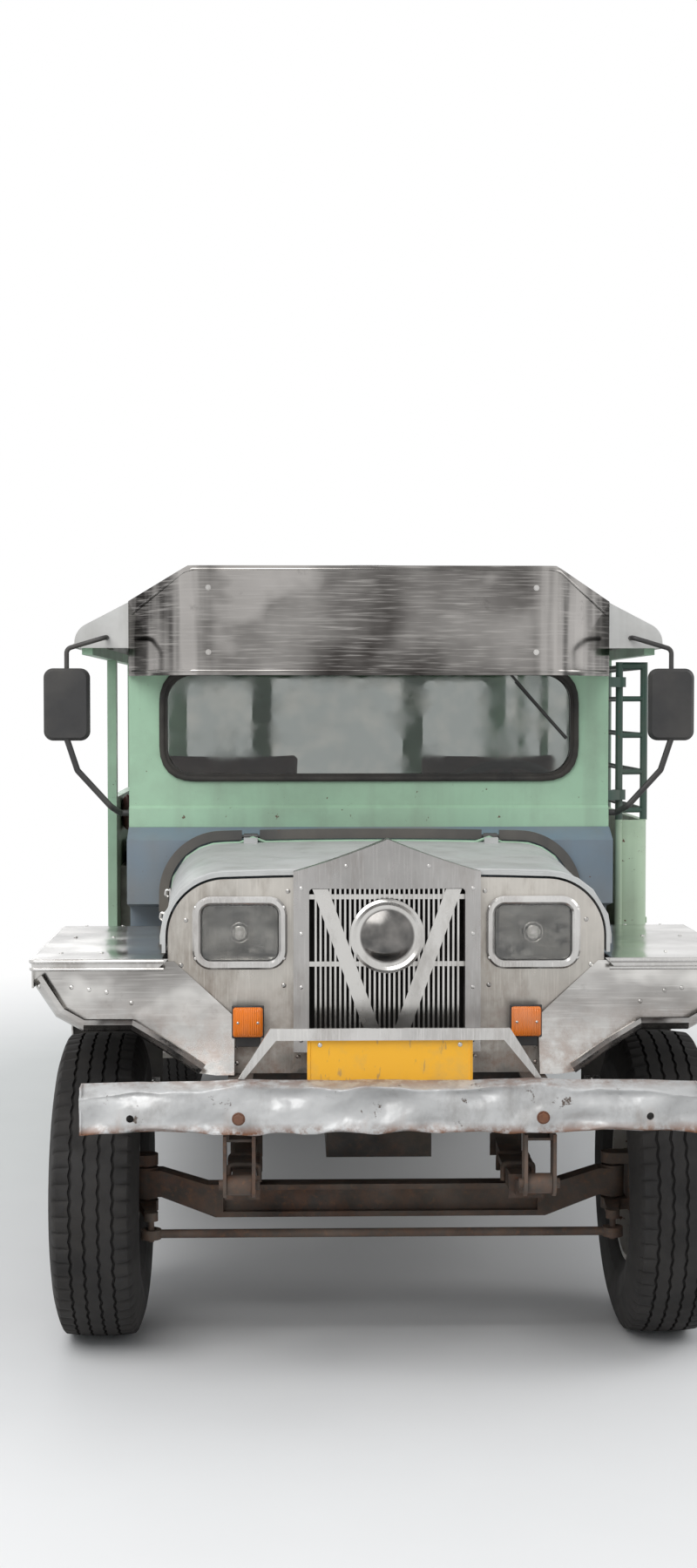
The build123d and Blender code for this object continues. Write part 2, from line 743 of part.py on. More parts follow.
disc_back_y = bars_front_y - v_bar_depth - seat_gap
disc_stem_radius = 45
dome_half = boss_disc_radius - 28
dome_height = 18
dome_round = (dome_half ** 2 + dome_height ** 2) / (2 * dome_height)
dome_swing = degrees(asin(dome_half / dome_round))
with BuildPart() as grille_disc:
    # A plain domed disc with one raised ring stands on the bars between the two flat ones.
    with BuildSketch(side_plane(0)):
        with BuildLine():
            Polyline((bars_front_y - seat_gap, boss_disc_z),
                     (bars_front_y - seat_gap, boss_disc_z + disc_stem_radius),
                     (disc_back_y, boss_disc_z + disc_stem_radius), (disc_back_y, boss_disc_z + boss_disc_radius),
                     (disc_back_y - 7, boss_disc_z + boss_disc_radius),
                     (disc_back_y - 11, boss_disc_z + boss_disc_radius - 7),
                     (disc_back_y - 6, boss_disc_z + boss_disc_radius - 15),
                     (disc_back_y - 6, boss_disc_z + boss_disc_radius - 28))
            dome = CenterArc((disc_back_y - 6 - dome_height + dome_round, boss_disc_z), dome_round,
                             180 - dome_swing, dome_swing)
            Line(dome @ 1, (bars_front_y - seat_gap, boss_disc_z))
        make_face()
    revolve(axis=Axis((0, 0, boss_disc_z), (0, 1, 0)))
with grille_bars:
    add(grille_disc.part)
keep(grille_bars, "grille_bars")

bezel_depth = 20
with BuildPart() as lamp_bezels:
    with BuildSketch(front_plane(nose_y - seat_gap)):
        with Locations((-lamp_x, lamp_z), (lamp_x, lamp_z)):
            RectangleRounded(lamp_glass_width + 2 * lamp_frame, lamp_glass_height + 2 * lamp_frame,
                             lamp_corner + lamp_frame)
            RectangleRounded(lamp_glass_width, lamp_glass_height, lamp_corner, mode=Mode.SUBTRACT)
    extrude(amount=bezel_depth)
    chamfer(lamp_bezels.faces().sort_by(Axis.Y)[:2].edges(), length=5)
keep(lamp_bezels, "lamp_bezels")

with BuildPart() as lamp_glasses:
    with BuildSketch(front_plane(nose_y - seat_gap)):
        with Locations((-lamp_x, lamp_z), (lamp_x, lamp_z)):
            RectangleRounded(lamp_glass_width - 2 * seat_gap, lamp_glass_height - 2 * seat_gap,
                             lamp_corner - seat_gap)
    extrude(amount=bezel_depth - 4)
    fillet(lamp_glasses.faces().sort_by(Axis.Y)[:2].edges(), radius=6)
keep(lamp_glasses, "lamp_glasses")

base_depth = 34
base_width = 60
with BuildPart() as turn_lamps:
    with BuildSketch(front_plane(nose_y - seat_gap)):
        with Locations((-turn_lamp_x, turn_lamp_z - 6), (turn_lamp_x, turn_lamp_z - 6)):
            RectangleRounded(base_width, turn_lamp_size + 22, 8)
    extrude(amount=base_depth)
    # Lenses
    with BuildSketch(front_plane(nose_y - 2 * seat_gap - base_depth)):
        with Locations((-turn_lamp_x, turn_lamp_z), (turn_lamp_x, turn_lamp_z)):
            RectangleRounded(turn_lamp_size, turn_lamp_size, 8)
    extrude(amount=22)
    fillet(turn_lamps.faces().sort_by(Axis.Y)[:2].edges(), radius=6)
keep(turn_lamps, "turn_lamps")


# Hood

hinge_y = hood_rear_y + 2
hinge_z = hood_rear_z + 12
hinge_x = 350
hinge_barrel = 9
hinge_pin = 5
hinge_half = 20


def hood_section(y, half, top, inset):
    """The arch of the hood at y, inset from its outer face, closed along its open side."""
    skirt = hood_skirt_z - (2 * inset if inset > 0 else 0)
    with BuildSketch(front_plane(y)) as section:
        with BuildLine():
            Line((-half + inset, skirt), (-half + inset, top - hood_crown - inset))
            ThreePointArc((-half + inset, top - hood_crown - inset), (0, top - inset),
                          (half - inset, top - hood_crown - inset))
            Polyline((half - inset, top - hood_crown - inset), (half - inset, skirt), (-half + inset, skirt))
        face = make_face()
        fillet(face.vertices().group_by(Axis.Y)[-1], radius=hood_corner - inset)
    return section


bead = 5
bead_length = 16
with BuildPart() as hood:
    loft([hood_section(hood_rear_y, hood_rear_half, hood_rear_z, 0).sketch,
          hood_section(nose_y, hood_front_half, hood_front_z, 0).sketch])
    loft([hood_section(hood_rear_y, hood_rear_half, hood_rear_z, hood_sheet).sketch,
          hood_section(nose_y, hood_front_half, hood_front_z, hood_sheet).sketch], mode=Mode.SUBTRACT)
    # Rolled bead round the front edge
    with BuildSketch(front_plane(nose_y + bead_length)):
        add(hood_section(0, hood_front_half, hood_front_z, -bead).sketch_local)
        add(hood_section(0, hood_front_half, hood_front_z, hood_sheet).sketch_local, mode=Mode.SUBTRACT)
    extrude(amount=bead_length)
    # Hinge knuckles over the rear edge
    for side in (-1, 1):
        x = side * hinge_x
        slab((x - hinge_half, x + hinge_half), (hood_rear_y - 40, hinge_y), (hood_rear_z - 14, hinge_z - 2))
        rod((x - hinge_half, hinge_y, hinge_z), (x + hinge_half, hinge_y, hinge_z), hinge_barrel)
        with Locations(Location((x, hinge_y, hinge_z), (0, 90, 0))):
            Cylinder(hinge_pin + pin_gap, 3 * hinge_half, mode=Mode.SUBTRACT)
keep(hood, "hood")


# Front fenders

apron_back_y = nose_y - seat_gap


def apron_forward(height):
    """How far the apron stands forwards at a height, between its top, its middle and its toe."""
    low, high = (apron_toe, apron_middle) if height < apron_middle[1] else (apron_middle, (0, fender_top_z))
    return low[0] + (high[0] - low[0]) * (height - low[1]) / (high[1] - low[1])


fender_drop_y = -1880   # where the flat top turns down
fender_toe_y = -1700    # where it meets the running board's level
fender_lap = 15         # of the apron over the nose panel
apron_middle = (12, 870)        # how far forwards the apron stands, and the height there
apron_toe = (60, 712)
# Lower edge of the apron and root of its flared lip, from the outer end inwards: x, z
lip_root = ((fender_outer_x, 965), (800, 880), (735, 846), (620, 846), (540, 800), (455, 745))
# Section of the lip as it curls away from the apron: forwards, outwards
lip_section = ((-3, -4), (16, 3), (32, 17), (38, 30), (34, 32), (27, 19), (13, 8), (-3, 3))
with BuildPart() as fenders:
    fender_path = [(fender_front_y, fender_top_z), (fender_drop_y, fender_top_z),
                   (fender_toe_y, fender_foot_z + 16), (fender_foot_y, fender_foot_z)]
    for start_x, width, depth in ((fender_inner_x, fender_outer_x - fender_inner_x, fender_sheet),
                                  (fender_outer_x - fender_sheet, fender_sheet, fender_skirt)):
        with BuildSketch(side_plane(start_x)):
            with BuildLine():
                top = FilletPolyline(*fender_path, radius=[150, 30])
                offset(top, amount=depth, side=Side.RIGHT)
            make_face()
        extrude(amount=width)
    # The apron below the fender's front flares forwards towards its lower edge.
    with BuildSketch(side_plane(nose_waist_half - fender_lap)):
        with BuildLine():
            apron = ThreePointArc((apron_back_y, fender_top_z - 1),
                                  (apron_back_y - apron_middle[0], apron_middle[1]),
                                  (apron_back_y - apron_toe[0], apron_toe[1]))
            offset(apron, amount=fender_sheet, side=Side.RIGHT)
        make_face()
    apron_solid = extrude(amount=520, mode=Mode.PRIVATE)
    with BuildSketch(front_plane(nose_y + 10)) as apron_outline:
        with BuildLine():
            Polyline((nose_waist_half - fender_lap, rail_top + 5), (nose_waist_half - fender_lap, nose_waist_z + 8),
                     (nose_half - fender_lap, hood_skirt_z - 20), (fender_outer_x, hood_skirt_z - 12),
                     *lip_root, (rail_x + rail_width, rail_top + 5), close=True)
        make_face()
    apron_block = extrude(amount=120, mode=Mode.PRIVATE)
    add(apron_solid & apron_block)
    # The flared lip runs along the apron's lower edge, one section at each of its corners.
    lip_sections = []
    for index, (x, z) in enumerate(lip_root):
        before = Vector(*lip_root[max(index - 1, 0)], 0)
        after = Vector(*lip_root[min(index + 1, len(lip_root) - 1)], 0)
        run = (after - before).normalized()
        apron_y = apron_back_y - apron_forward(z)
        lip_plane = Plane(origin=(x, apron_y, z), x_dir=(0, -1, 0), z_dir=(run.X, 0, run.Y))
        with BuildSketch(lip_plane) as lip:
            with BuildLine():
                Polyline(*lip_section, close=True)
            make_face()
        lip_sections.append(lip.sketch)
    loft(lip_sections, ruled=True)
    mirror(about=Plane.YZ)
keep(fenders, "fenders")

with BuildPart() as fender_trims:
    # A bright strip along the fender's front edge, pointed at its inner end
    with BuildSketch(front_plane(fender_front_y - seat_gap)):
        with BuildLine():
            Polyline((fender_inner_x - 16, fender_top_z), (fender_outer_x, fender_top_z),
                     (fender_outer_x, fender_top_z - 26), (fender_inner_x + 12, fender_top_z - 26), close=True)
        make_face()
        mirror(about=Plane.YZ)
    extrude(amount=4)
keep(fender_trims, "fender_trims")

flap_sheet = 6
flap_y = -1806
flap_slope = (fender_top_z - fender_foot_z - 16) / (fender_toe_y - fender_drop_y)
flap_drop = fender_sheet * (1 + flap_slope ** 2) ** 0.5 + 2 * seat_gap
flap_top_z = fender_top_z - flap_slope * (flap_y + flap_sheet - fender_drop_y) - flap_drop
with BuildPart() as mud_flaps:
    for side in (-1, 1):
        slab(sorted((side * 600, side * (fender_outer_x - fender_sheet - seat_gap))),
             (flap_y, flap_y + flap_sheet), (540, flap_top_z))
keep(mud_flaps, "mud_flaps")


# Cowl and windscreen

firewall_rear_y = windscreen_y + windscreen_depth / 2
ring_gap = 7
ring_width = 28
ring_depth = 18
with BuildPart() as cowl:
    with BuildSketch(side_plane(-cowl_half)):
        with BuildLine():
            Polyline((firewall_rear_y, floor_top + seat_gap), (firewall_y, floor_top + seat_gap),
                     (firewall_y, hood_skirt_z), (cowl_front_y, hood_skirt_z + 20), (cowl_front_y, hood_rear_z),
                     (cowl_front_y + 75, cowl_top_z), (firewall_rear_y, cowl_top_z), close=True)
        make_face()
    extrude(amount=2 * cowl_half)
    # The arched ring stands round the hood's rear edge and carries its hinge pins.
    ring_outer = hood_section(0, hood_rear_half, hood_rear_z, -(ring_gap + ring_width)).sketch_local
    ring_inner = hood_section(0, hood_rear_half, hood_rear_z, -ring_gap).sketch_local
    with BuildSketch(front_plane(hinge_y + ring_depth / 2)):
        add(ring_outer)
        add(ring_inner, mode=Mode.SUBTRACT)
    extrude(amount=ring_depth)
    notch_half = hinge_half + running_gap
    for side in (-1, 1):
        x = side * hinge_x
        with Locations((x, hinge_y, hinge_z)):
            Box(2 * notch_half, ring_depth + 2, 60, mode=Mode.SUBTRACT)
        rod((x - notch_half - 4, hinge_y, hinge_z), (x + notch_half + 4, hinge_y, hinge_z), hinge_pin)
keep(cowl, "cowl")

frame_bottom_z = cowl_top_z + seat_gap
frame_top_z = header_z - seat_gap
opening_middle_z = (glass_opening_bottom + glass_opening_top) / 2
opening_height = glass_opening_top - glass_opening_bottom
flange_height = 63
with BuildPart() as windscreen_frame:
    with BuildSketch(front_plane(windscreen_y + windscreen_depth / 2)):
        with Locations((0, (frame_bottom_z + frame_top_z) / 2)):
            Rectangle(2 * windscreen_half, frame_top_z - frame_bottom_z)
        with Locations((0, opening_middle_z)):
            RectangleRounded(2 * glass_opening_half, opening_height, glass_corner, mode=Mode.SUBTRACT)
    extrude(amount=windscreen_depth)
    # The lower flange stands a little proud of the frame.
    with BuildSketch(side_plane(-windscreen_half)):
        with BuildLine():
            face_y = windscreen_y - windscreen_depth / 2
            Polyline((face_y, frame_bottom_z), (face_y - 12, frame_bottom_z),
                     (face_y - 9, frame_bottom_z + flange_height - 8), (face_y, frame_bottom_z + flange_height),
                     close=True)
        make_face()
    extrude(amount=2 * windscreen_half)
keep(windscreen_frame, "windscreen_frame")

seal_outer_half = glass_opening_half - seat_gap
seal_outer_height = opening_height - 2 * seat_gap
with BuildPart() as windscreen_seal:
    with BuildSketch(front_plane(windscreen_y + seal_depth / 2)):
        with Locations((0, opening_middle_z)):
            RectangleRounded(2 * seal_outer_half, seal_outer_height, glass_corner - seat_gap)
            RectangleRounded(2 * (seal_outer_half - seal_width), seal_outer_height - 2 * seal_width,
                             glass_corner - seat_gap - seal_width, mode=Mode.SUBTRACT)
    extrude(amount=seal_depth)
keep(windscreen_seal, "windscreen_seal")

glass_inset = seal_width + seat_gap
with BuildPart() as windscreen_glass:
    with BuildSketch(front_plane(windscreen_y + glass_thickness / 2)):
        with Locations((0, opening_middle_z)):
            RectangleRounded(2 * (seal_outer_half - glass_inset), seal_outer_height - 2 * glass_inset,
                             glass_corner - seat_gap - glass_inset)
    extrude(amount=glass_thickness)
keep(windscreen_glass, "windscreen_glass")

blade_radius = 5
blade_y = windscreen_y - glass_thickness / 2 - blade_radius - seat_gap
pivot_y = windscreen_y - windscreen_depth / 2 - seat_gap
with BuildPart() as wiper:
    rod((385, pivot_y, glass_opening_top + 18), (385, pivot_y - 24, glass_opening_top + 18), 12)
    rod((glass_opening_half - 237, pivot_y - 20, glass_opening_top + 18),
        (glass_opening_half - 110, blade_y - 4, glass_opening_top - 124), 4)
    rod((glass_opening_half - 186, blade_y, glass_opening_top - 40),
        (glass_opening_half - 34, blade_y, glass_opening_top - 210), blade_radius)
keep(wiper, "wiper")

with BuildPart() as visor:
    # A sheet bent round the front of the roof, its top edge lower at the ends
    with BuildSketch(Plane.XY.offset(visor_bottom)):
        with BuildLine():
            bend = FilletPolyline((-windscreen_half, roof_front_y - seat_gap), (-visor_flat_half, visor_front_y),
                                  (visor_flat_half, visor_front_y), (windscreen_half, roof_front_y - seat_gap),
                                  radius=70)
            offset(bend, amount=visor_sheet, side=Side.LEFT)
        make_face()
    extrude(amount=visor_top - visor_bottom)
    with BuildSketch(front_plane(roof_front_y - seat_gap)):
        with BuildLine():
            Polyline((-windscreen_half - 20, visor_bottom), (-windscreen_half - 20, visor_end_top - 10),
                     (-visor_flat_half, visor_top), (visor_flat_half, visor_top),
                     (windscreen_half + 20, visor_end_top - 10), (windscreen_half + 20, visor_bottom), close=True)
        make_face()
    extrude(amount=roof_front_y - visor_front_y + 10, mode=Mode.INTERSECT)
keep(visor, "visor")


# Roof and body

rear_sheet = 30
rear_face_y = body_rear_y - rear_sheet
panel_rear_y = rear_face_y - seat_gap
side_inner_x = side_x - side_sheet
cant_height = 30
cant_bottom_z = window_top + seat_gap
window_pitch = (rear_face_y - doorway_rear_y) / windows_per_side
crown_round = 60
knee_round = 300
bow_width = 36
bow_depth = 22


def roof_outline(inset):
    """The roof's arch, inset from its outer face, closed along the header's level."""
    shoulder = (roof_half - inset, roof_shoulder_z - 0.6 * inset)
    knee = (roof_knee_half, roof_knee_z - inset)
    with BuildSketch() as outline:
        with BuildLine():
            ThreePointArc((-knee[0], knee[1]), (0, roof_top - inset), knee)
            Polyline(knee, shoulder, (roof_half - inset, header_z), (-roof_half + inset, header_z),
                     (-shoulder[0], shoulder[1]), (-knee[0], knee[1]))
        face = make_face()
        fillet(face.vertices().group_by(Axis.Y)[1], radius=crown_round - inset)
        fillet(outline.vertices().group_by(Axis.Y)[-1], radius=knee_round - inset)
    return outline.sketch_local


with BuildPart() as roof:
    with BuildSketch(front_plane(body_rear_y)):
        add(roof_outline(0))
        add(roof_outline(roof_sheet), mode=Mode.SUBTRACT)
    extrude(amount=body_rear_y - roof_front_y)
    # Closing plates over the windscreen and over the rear doorway
    for plate_y in (roof_front_y + roof_sheet, body_rear_y):
        with BuildSketch(front_plane(plate_y)):
            add(roof_outline(roof_sheet - 1))
        extrude(amount=roof_sheet)
    # A bow under the sheet over each pair of window posts, clear of the cant rails
    bow_foot_z = cant_bottom_z + cant_height + running_gap
    for number in range(windows_per_side):
        post_middle_y = doorway_rear_y + number * window_pitch + post_width / 2
        with BuildSketch(front_plane(post_middle_y + bow_width / 2)):
            add(roof_outline(roof_sheet - 1))
            add(roof_outline(roof_sheet + bow_depth), mode=Mode.SUBTRACT)
            with Locations((0, (header_z + bow_foot_z) / 2)):
                Rectangle(2 * roof_half, bow_foot_z - header_z + 2, mode=Mode.SUBTRACT)
        extrude(amount=bow_width)
keep(roof, "roof")

with BuildPart() as window_frames:
    # Cant rails along the roof's edges
    for side in (-1, 1):
        slab(sorted((side * (side_x - side_sheet), side * (roof_half - roof_sheet - seat_gap))),
             (roof_front_y + roof_sheet + seat_gap, panel_rear_y), (cant_bottom_z, cant_bottom_z + cant_height))
        # Posts between the windows
        for number in range(windows_per_side):
            post_y = doorway_rear_y + number * window_pitch
            slab(sorted((side * side_inner_x, side * side_x)), (post_y, post_y + post_width),
                 (sill_z + seat_gap, window_top))
keep(window_frames, "window_frames")

with BuildPart() as side_panels:
    with BuildSketch(side_plane(side_inner_x)):
        with BuildLine():
            Polyline((firewall_y, side_bottom), (panel_rear_y, side_bottom), (panel_rear_y, sill_z),
                     (doorway_rear_y, sill_z), (doorway_rear_y, floor_top), (firewall_y, floor_top), close=True)
        make_face()
        with Locations((rear_axle_y, tyre_radius)):
            Circle(rear_arch_radius, mode=Mode.SUBTRACT)
    extrude(amount=side_sheet)
    mirror(about=Plane.YZ)
keep(side_panels, "side_panels")

with BuildPart() as rear_panel:
    with BuildSketch(front_plane(body_rear_y)):
        with Locations((0, (side_bottom + frame_top_z) / 2)):
            Rectangle(2 * side_x, frame_top_z - side_bottom)
        with Locations((0, (floor_top + frame_top_z) / 2 - 20)):
            Rectangle(2 * rear_doorway_half, frame_top_z - floor_top - 40, mode=Mode.SUBTRACT)
        with Locations((0, (sill_z + window_top) / 2)):
            with GridLocations(2 * rear_window_x, 1, 2, 1):
                RectangleRounded(330, window_top - sill_z - 60, 40, mode=Mode.SUBTRACT)
    extrude(amount=rear_sheet)
keep(rear_panel, "rear_panel")

floor_half = side_inner_x - seat_gap
well_half_length = 430
well_inner_x = 590
with BuildPart() as floor:
    slab((-floor_half, floor_half), (cowl_front_y + 90, panel_rear_y), (floor_bottom, floor_top))
    with Locations((0, rear_axle_y, floor_top)):
        with GridLocations(floor_half + well_inner_x, 1, 2, 1):
            Box(floor_half - well_inner_x + 1, 2 * well_half_length, 100, mode=Mode.SUBTRACT)
keep(floor, "floor")

board_sheet = 20
bracket_depth = 20
step_z = 470
with BuildPart() as steps:
    slab((700, fender_outer_x), (fender_foot_y + seat_gap, doorway_rear_y),
         (fender_foot_z - board_sheet, fender_foot_z))
    rail_face_x = rail_x + rail_width / 2 + seat_gap
    for bracket_y in (fender_foot_y + 150, doorway_rear_y - 150):
        slab((rail_face_x, fender_outer_x - 30), (bracket_y - 20, bracket_y + 20),
             (fender_foot_z - board_sheet - bracket_depth, fender_foot_z - board_sheet))
        slab((rail_face_x, rail_face_x + bracket_depth), (bracket_y - 20, bracket_y + 20),
             (fender_foot_z - board_sheet - bracket_depth, rail_top - 40))
    mirror(about=Plane.YZ)
    # Rear step on two hangers
    slab((-rail_x - 20, rail_x + 20), (rail_rear_y - 80, body_rear_y + rear_step_out), (step_z - 18, step_z))
    for side in (-1, 1):
        slab(sorted((side * (rail_x - 20), side * (rail_x + 20))), (rail_rear_y - 80, rail_rear_y),
             (step_z - 18, rail_bottom - seat_gap))
keep(steps, "steps")

with BuildPart() as rear_lamps:
    with BuildSketch(front_plane(body_rear_y + seat_gap + 32)):
        with Locations((-720, 900), (720, 900)):
            RectangleRounded(110, 170, 14)
    extrude(amount=32)
keep(rear_lamps, "rear_lamps")


# Driver's door

door_plane_x = door_outer_x - door_sheet / 2
with BuildPart() as driver_door:
    with BuildSketch(Plane.XY.offset(door_bottom)):
        with BuildLine():
            door_edge = FilletPolyline((door_hinge_x + guard_tube + seat_gap, door_hinge_y),
                                       (door_outer_x, door_hinge_y), (door_outer_x, door_rear_y), radius=40)
            offset(door_edge, amount=door_sheet, side=Side.LEFT)
        make_face()
    extrude(amount=door_top - door_bottom)

rung_tube = 8
corner_y = door_hinge_y + 22
with BuildPart() as door_guard:
    # The front tube is the hinge's axis. The top tube and the rungs follow the door's plan.
    rod((door_hinge_x, door_hinge_y, door_bottom), (door_hinge_x, door_hinge_y, guard_top), guard_tube)
    rear_y = door_rear_y - guard_tube
    for upright_y in (corner_y, rear_y):
        rod((door_plane_x, upright_y, door_top + seat_gap), (door_plane_x, upright_y, guard_top), guard_tube)
    for height, radius in ((guard_top - guard_tube, guard_tube), (1650, rung_tube), (1540, rung_tube),
                           (1430, rung_tube), (door_top + 30, rung_tube)):
        rod((door_hinge_x, door_hinge_y, height), (door_plane_x, corner_y, height), radius)
        rod((door_plane_x, corner_y, height), (door_plane_x, rear_y, height), radius)
with driver_door:
    add(door_guard.part)
keep(driver_door, "driver_door")

hinge_eye = 20
with BuildPart() as door_hinges:
    for height in (1362, 1700):
        with BuildSketch(Plane.XY.offset(height - 15)):
            with Locations((door_hinge_x, door_hinge_y)):
                Circle(hinge_eye)
            with BuildLine():
                Polyline((windscreen_half + seat_gap, windscreen_y - 18), (door_hinge_x, door_hinge_y - hinge_eye),
                         (door_hinge_x, door_hinge_y + 4), (windscreen_half + seat_gap, windscreen_y + 19),
                         close=True)
            make_face()
            with Locations((door_hinge_x, door_hinge_y)):
                Circle(guard_tube + pin_gap, mode=Mode.SUBTRACT)
        extrude(amount=30)
keep(door_hinges, "door_hinges")


# Mirrors

mirror_x = 889
mirror_arm_z = 1830
mirror_foot_z = 1311
mirror_y = -1606
mirror_low = 1527
mirror_high = 1739
mirror_width = 134
mirror_depth = 30
with BuildPart() as mirrors:
    with BuildSketch(front_plane(mirror_y + mirror_depth / 2)):
        with Locations((mirror_x, (mirror_low + mirror_high) / 2)):
            RectangleRounded(mirror_width, mirror_high - mirror_low, 28)
    extrude(amount=mirror_depth)
    chamfer(mirrors.faces().sort_by(Axis.Y)[0].edges(), length=9)
    # The glass lies in a shallow recess that faces the driver.
    with BuildSketch(front_plane(mirror_y + mirror_depth / 2)):
        with Locations((mirror_x, (mirror_low + mirror_high) / 2)):
            RectangleRounded(mirror_width - 14, mirror_high - mirror_low - 14, 22)
    extrude(amount=4, mode=Mode.SUBTRACT)
    # The upper arm hangs from the roof's front, and the lower one stands on the windscreen frame.
    with BuildLine() as upper_arm:
        FilletPolyline((mirror_x - 114, roof_front_y - seat_gap, mirror_arm_z),
                       (mirror_x - 114, mirror_y, mirror_arm_z),
                       (mirror_x, mirror_y, 1796), (mirror_x, mirror_y, mirror_high - 4), radius=18)
    with BuildLine() as lower_arm:
        FilletPolyline((windscreen_half + seat_gap, windscreen_y - 6, mirror_foot_z),
                       (windscreen_half + 28, windscreen_y - 6, mirror_foot_z), (windscreen_half + 50, mirror_y, 1334),
                       (mirror_x - 30, mirror_y, 1440), (mirror_x, mirror_y, mirror_low + 4), radius=14)
    for arm, radius in ((upper_arm.line, 7), (lower_arm.line, 9)):
        with BuildSketch(Plane(origin=arm @ 0, z_dir=arm % 0)):
            Circle(radius)
        sweep(path=arm)
    mirror(about=Plane.YZ)
keep(mirrors, "mirrors")


# Cab and benches

dash_half = cowl_half - 22
dash_bottom = 1165
with BuildPart() as dashboard:
    with BuildSketch(side_plane(-dash_half)):
        with BuildLine():
            dash_y = firewall_rear_y + seat_gap
            Polyline((dash_y, dash_bottom), (dash_y + 50, dash_bottom), (dash_y + 76, dash_bottom + 26),
                     (dash_y + 76, cowl_top_z - 31), (dash_y + 50, cowl_top_z), (dash_y, cowl_top_z), close=True)
        make_face()
    extrude(amount=2 * dash_half)
keep(dashboard, "dashboard")

column_way = Vector(0, -cos(radians(steering_rake)), -sin(radians(steering_rake)))
wheel_middle = Vector(steering_x, steering_y, steering_z)
hub_half = 22
rim_tube = 14
column_start = wheel_middle + column_way * (hub_half + seat_gap)
column_run = (steering_y - firewall_rear_y) / cos(radians(steering_rake))
with BuildPart() as steering_column:
    rod(column_start, wheel_middle + column_way * (column_run + 60), column_radius)
    # The column's foot is cut flush with the fire wall.
    split(bisect_by=front_plane(firewall_rear_y + seat_gap), keep=Keep.BOTTOM)
keep(steering_column, "steering_column")

with BuildPart() as steering_wheel:
    wheel_plane = Plane(origin=wheel_middle, x_dir=(1, 0, 0), z_dir=-column_way)
    with BuildSketch(Plane(origin=wheel_middle, x_dir=(1, 0, 0), z_dir=wheel_plane.y_dir)):
        with Locations((steering_wheel_radius - rim_tube, 0)):
            Circle(rim_tube)
    revolve(axis=Axis(wheel_middle, -column_way))
    with BuildSketch(wheel_plane.offset(-hub_half)):
        Circle(38)
    extrude(amount=2 * hub_half)
    with BuildSketch(wheel_plane.offset(-6)):
        with PolarLocations(0, 3, start_angle=-90):
            with Locations(((steering_wheel_radius - rim_tube) / 2, 0)):
                Rectangle(steering_wheel_radius - rim_tube, 30)
    extrude(amount=12)
keep(steering_wheel, "steering_wheel")

seat_width = 500
seat_middle_x = 440
seat_base_top = cab_seat_z - seat_gap
seat_front_y = -1150
seat_rear_y = seat_front_y + cab_seat_depth
bench_end_x = floor_half
with BuildPart() as seat_boxes:
    for side in (-1, 1):
        # Box under the cab seat
        middle = side * seat_middle_x
        slab((middle - seat_width / 2, middle + seat_width / 2), (seat_front_y, seat_rear_y + 75),
             (floor_top + seat_gap, seat_base_top))
        # Long bench: its front board, its end board and the board that it is sat on
        slab(sorted((side * bench_front_x, side * (bench_front_x + bench_board))),
             (bench_front_y, panel_rear_y), (floor_top + seat_gap, bench_z - bench_board))
        slab(sorted((side * (bench_front_x + bench_board - 1), side * bench_end_x)),
             (bench_front_y, bench_front_y + bench_board), (floor_top + seat_gap, bench_z - bench_board))
        slab(sorted((side * bench_front_x, side * bench_end_x)), (bench_front_y, panel_rear_y),
             (bench_z - bench_board, bench_z))
keep(seat_boxes, "seat_boxes")

with BuildPart() as cab_seats:
    for side in (-1, 1):
        middle = side * seat_middle_x
        slab((middle - seat_width / 2, middle + seat_width / 2), (seat_front_y, seat_rear_y),
             (cab_seat_z, cab_seat_z + cab_cushion))
        slab((middle - seat_width / 2, middle + seat_width / 2), (seat_rear_y + 5, seat_rear_y + 75),
             (cab_seat_z, cab_seat_z + 520))
    fillet(cab_seats.edges().filter_by(Axis.X), radius=25)
keep(cab_seats, "cab_seats")

cushion_low = bench_z + seat_gap
cushion_top = bench_z + bench_cushion
with BuildPart() as bench_cushions:
    for side in (-1, 1):
        slab(sorted((side * (bench_front_x + 2), side * bench_end_x)),
             (bench_front_y + 5, panel_rear_y - 5), (cushion_low, cushion_top))
        slab(sorted((side * (bench_end_x - 50), side * bench_end_x)),
             (bench_front_y + 5, panel_rear_y - 5), (cushion_top + 10, cushion_top + 10 + bench_back_height))
    fillet(bench_cushions.edges().filter_by(Axis.Y), radius=20)
keep(bench_cushions, "bench_cushions")

rail_tube = 13
hanger_tube = 8
hand_rail_x = 330
hand_rail_z = roof_top - 165
hand_rail_front_y = -480
hand_rail_rear_y = 2600
crown_sag = roof_top - roof_knee_z
crown_radius = (roof_knee_half ** 2 + crown_sag ** 2) / (2 * crown_sag)
hanger_x = hand_rail_x + hanger_tube
ceiling_z = roof_top - roof_sheet - crown_radius + (crown_radius ** 2 - hanger_x ** 2) ** 0.5
with BuildPart() as hand_rails:
    for side in (-1, 1):
        x = side * hand_rail_x
        rod((x, hand_rail_front_y, hand_rail_z), (x, hand_rail_rear_y, hand_rail_z), rail_tube)
        for hanger_y in (-400, 560, 1520, 2480):
            rod((x, hanger_y, hand_rail_z), (x, hanger_y, ceiling_z - seat_gap), hanger_tube)
keep(hand_rails, "hand_rails")
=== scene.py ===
"""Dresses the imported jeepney: finishes, moulded tyres, stuffed seats, lamps, trim and fittings."""
from math import cos, degrees, exp, pi, radians, sin, sqrt, tan

import bmesh
import bpy
from mathutils import Matrix, Vector, noise


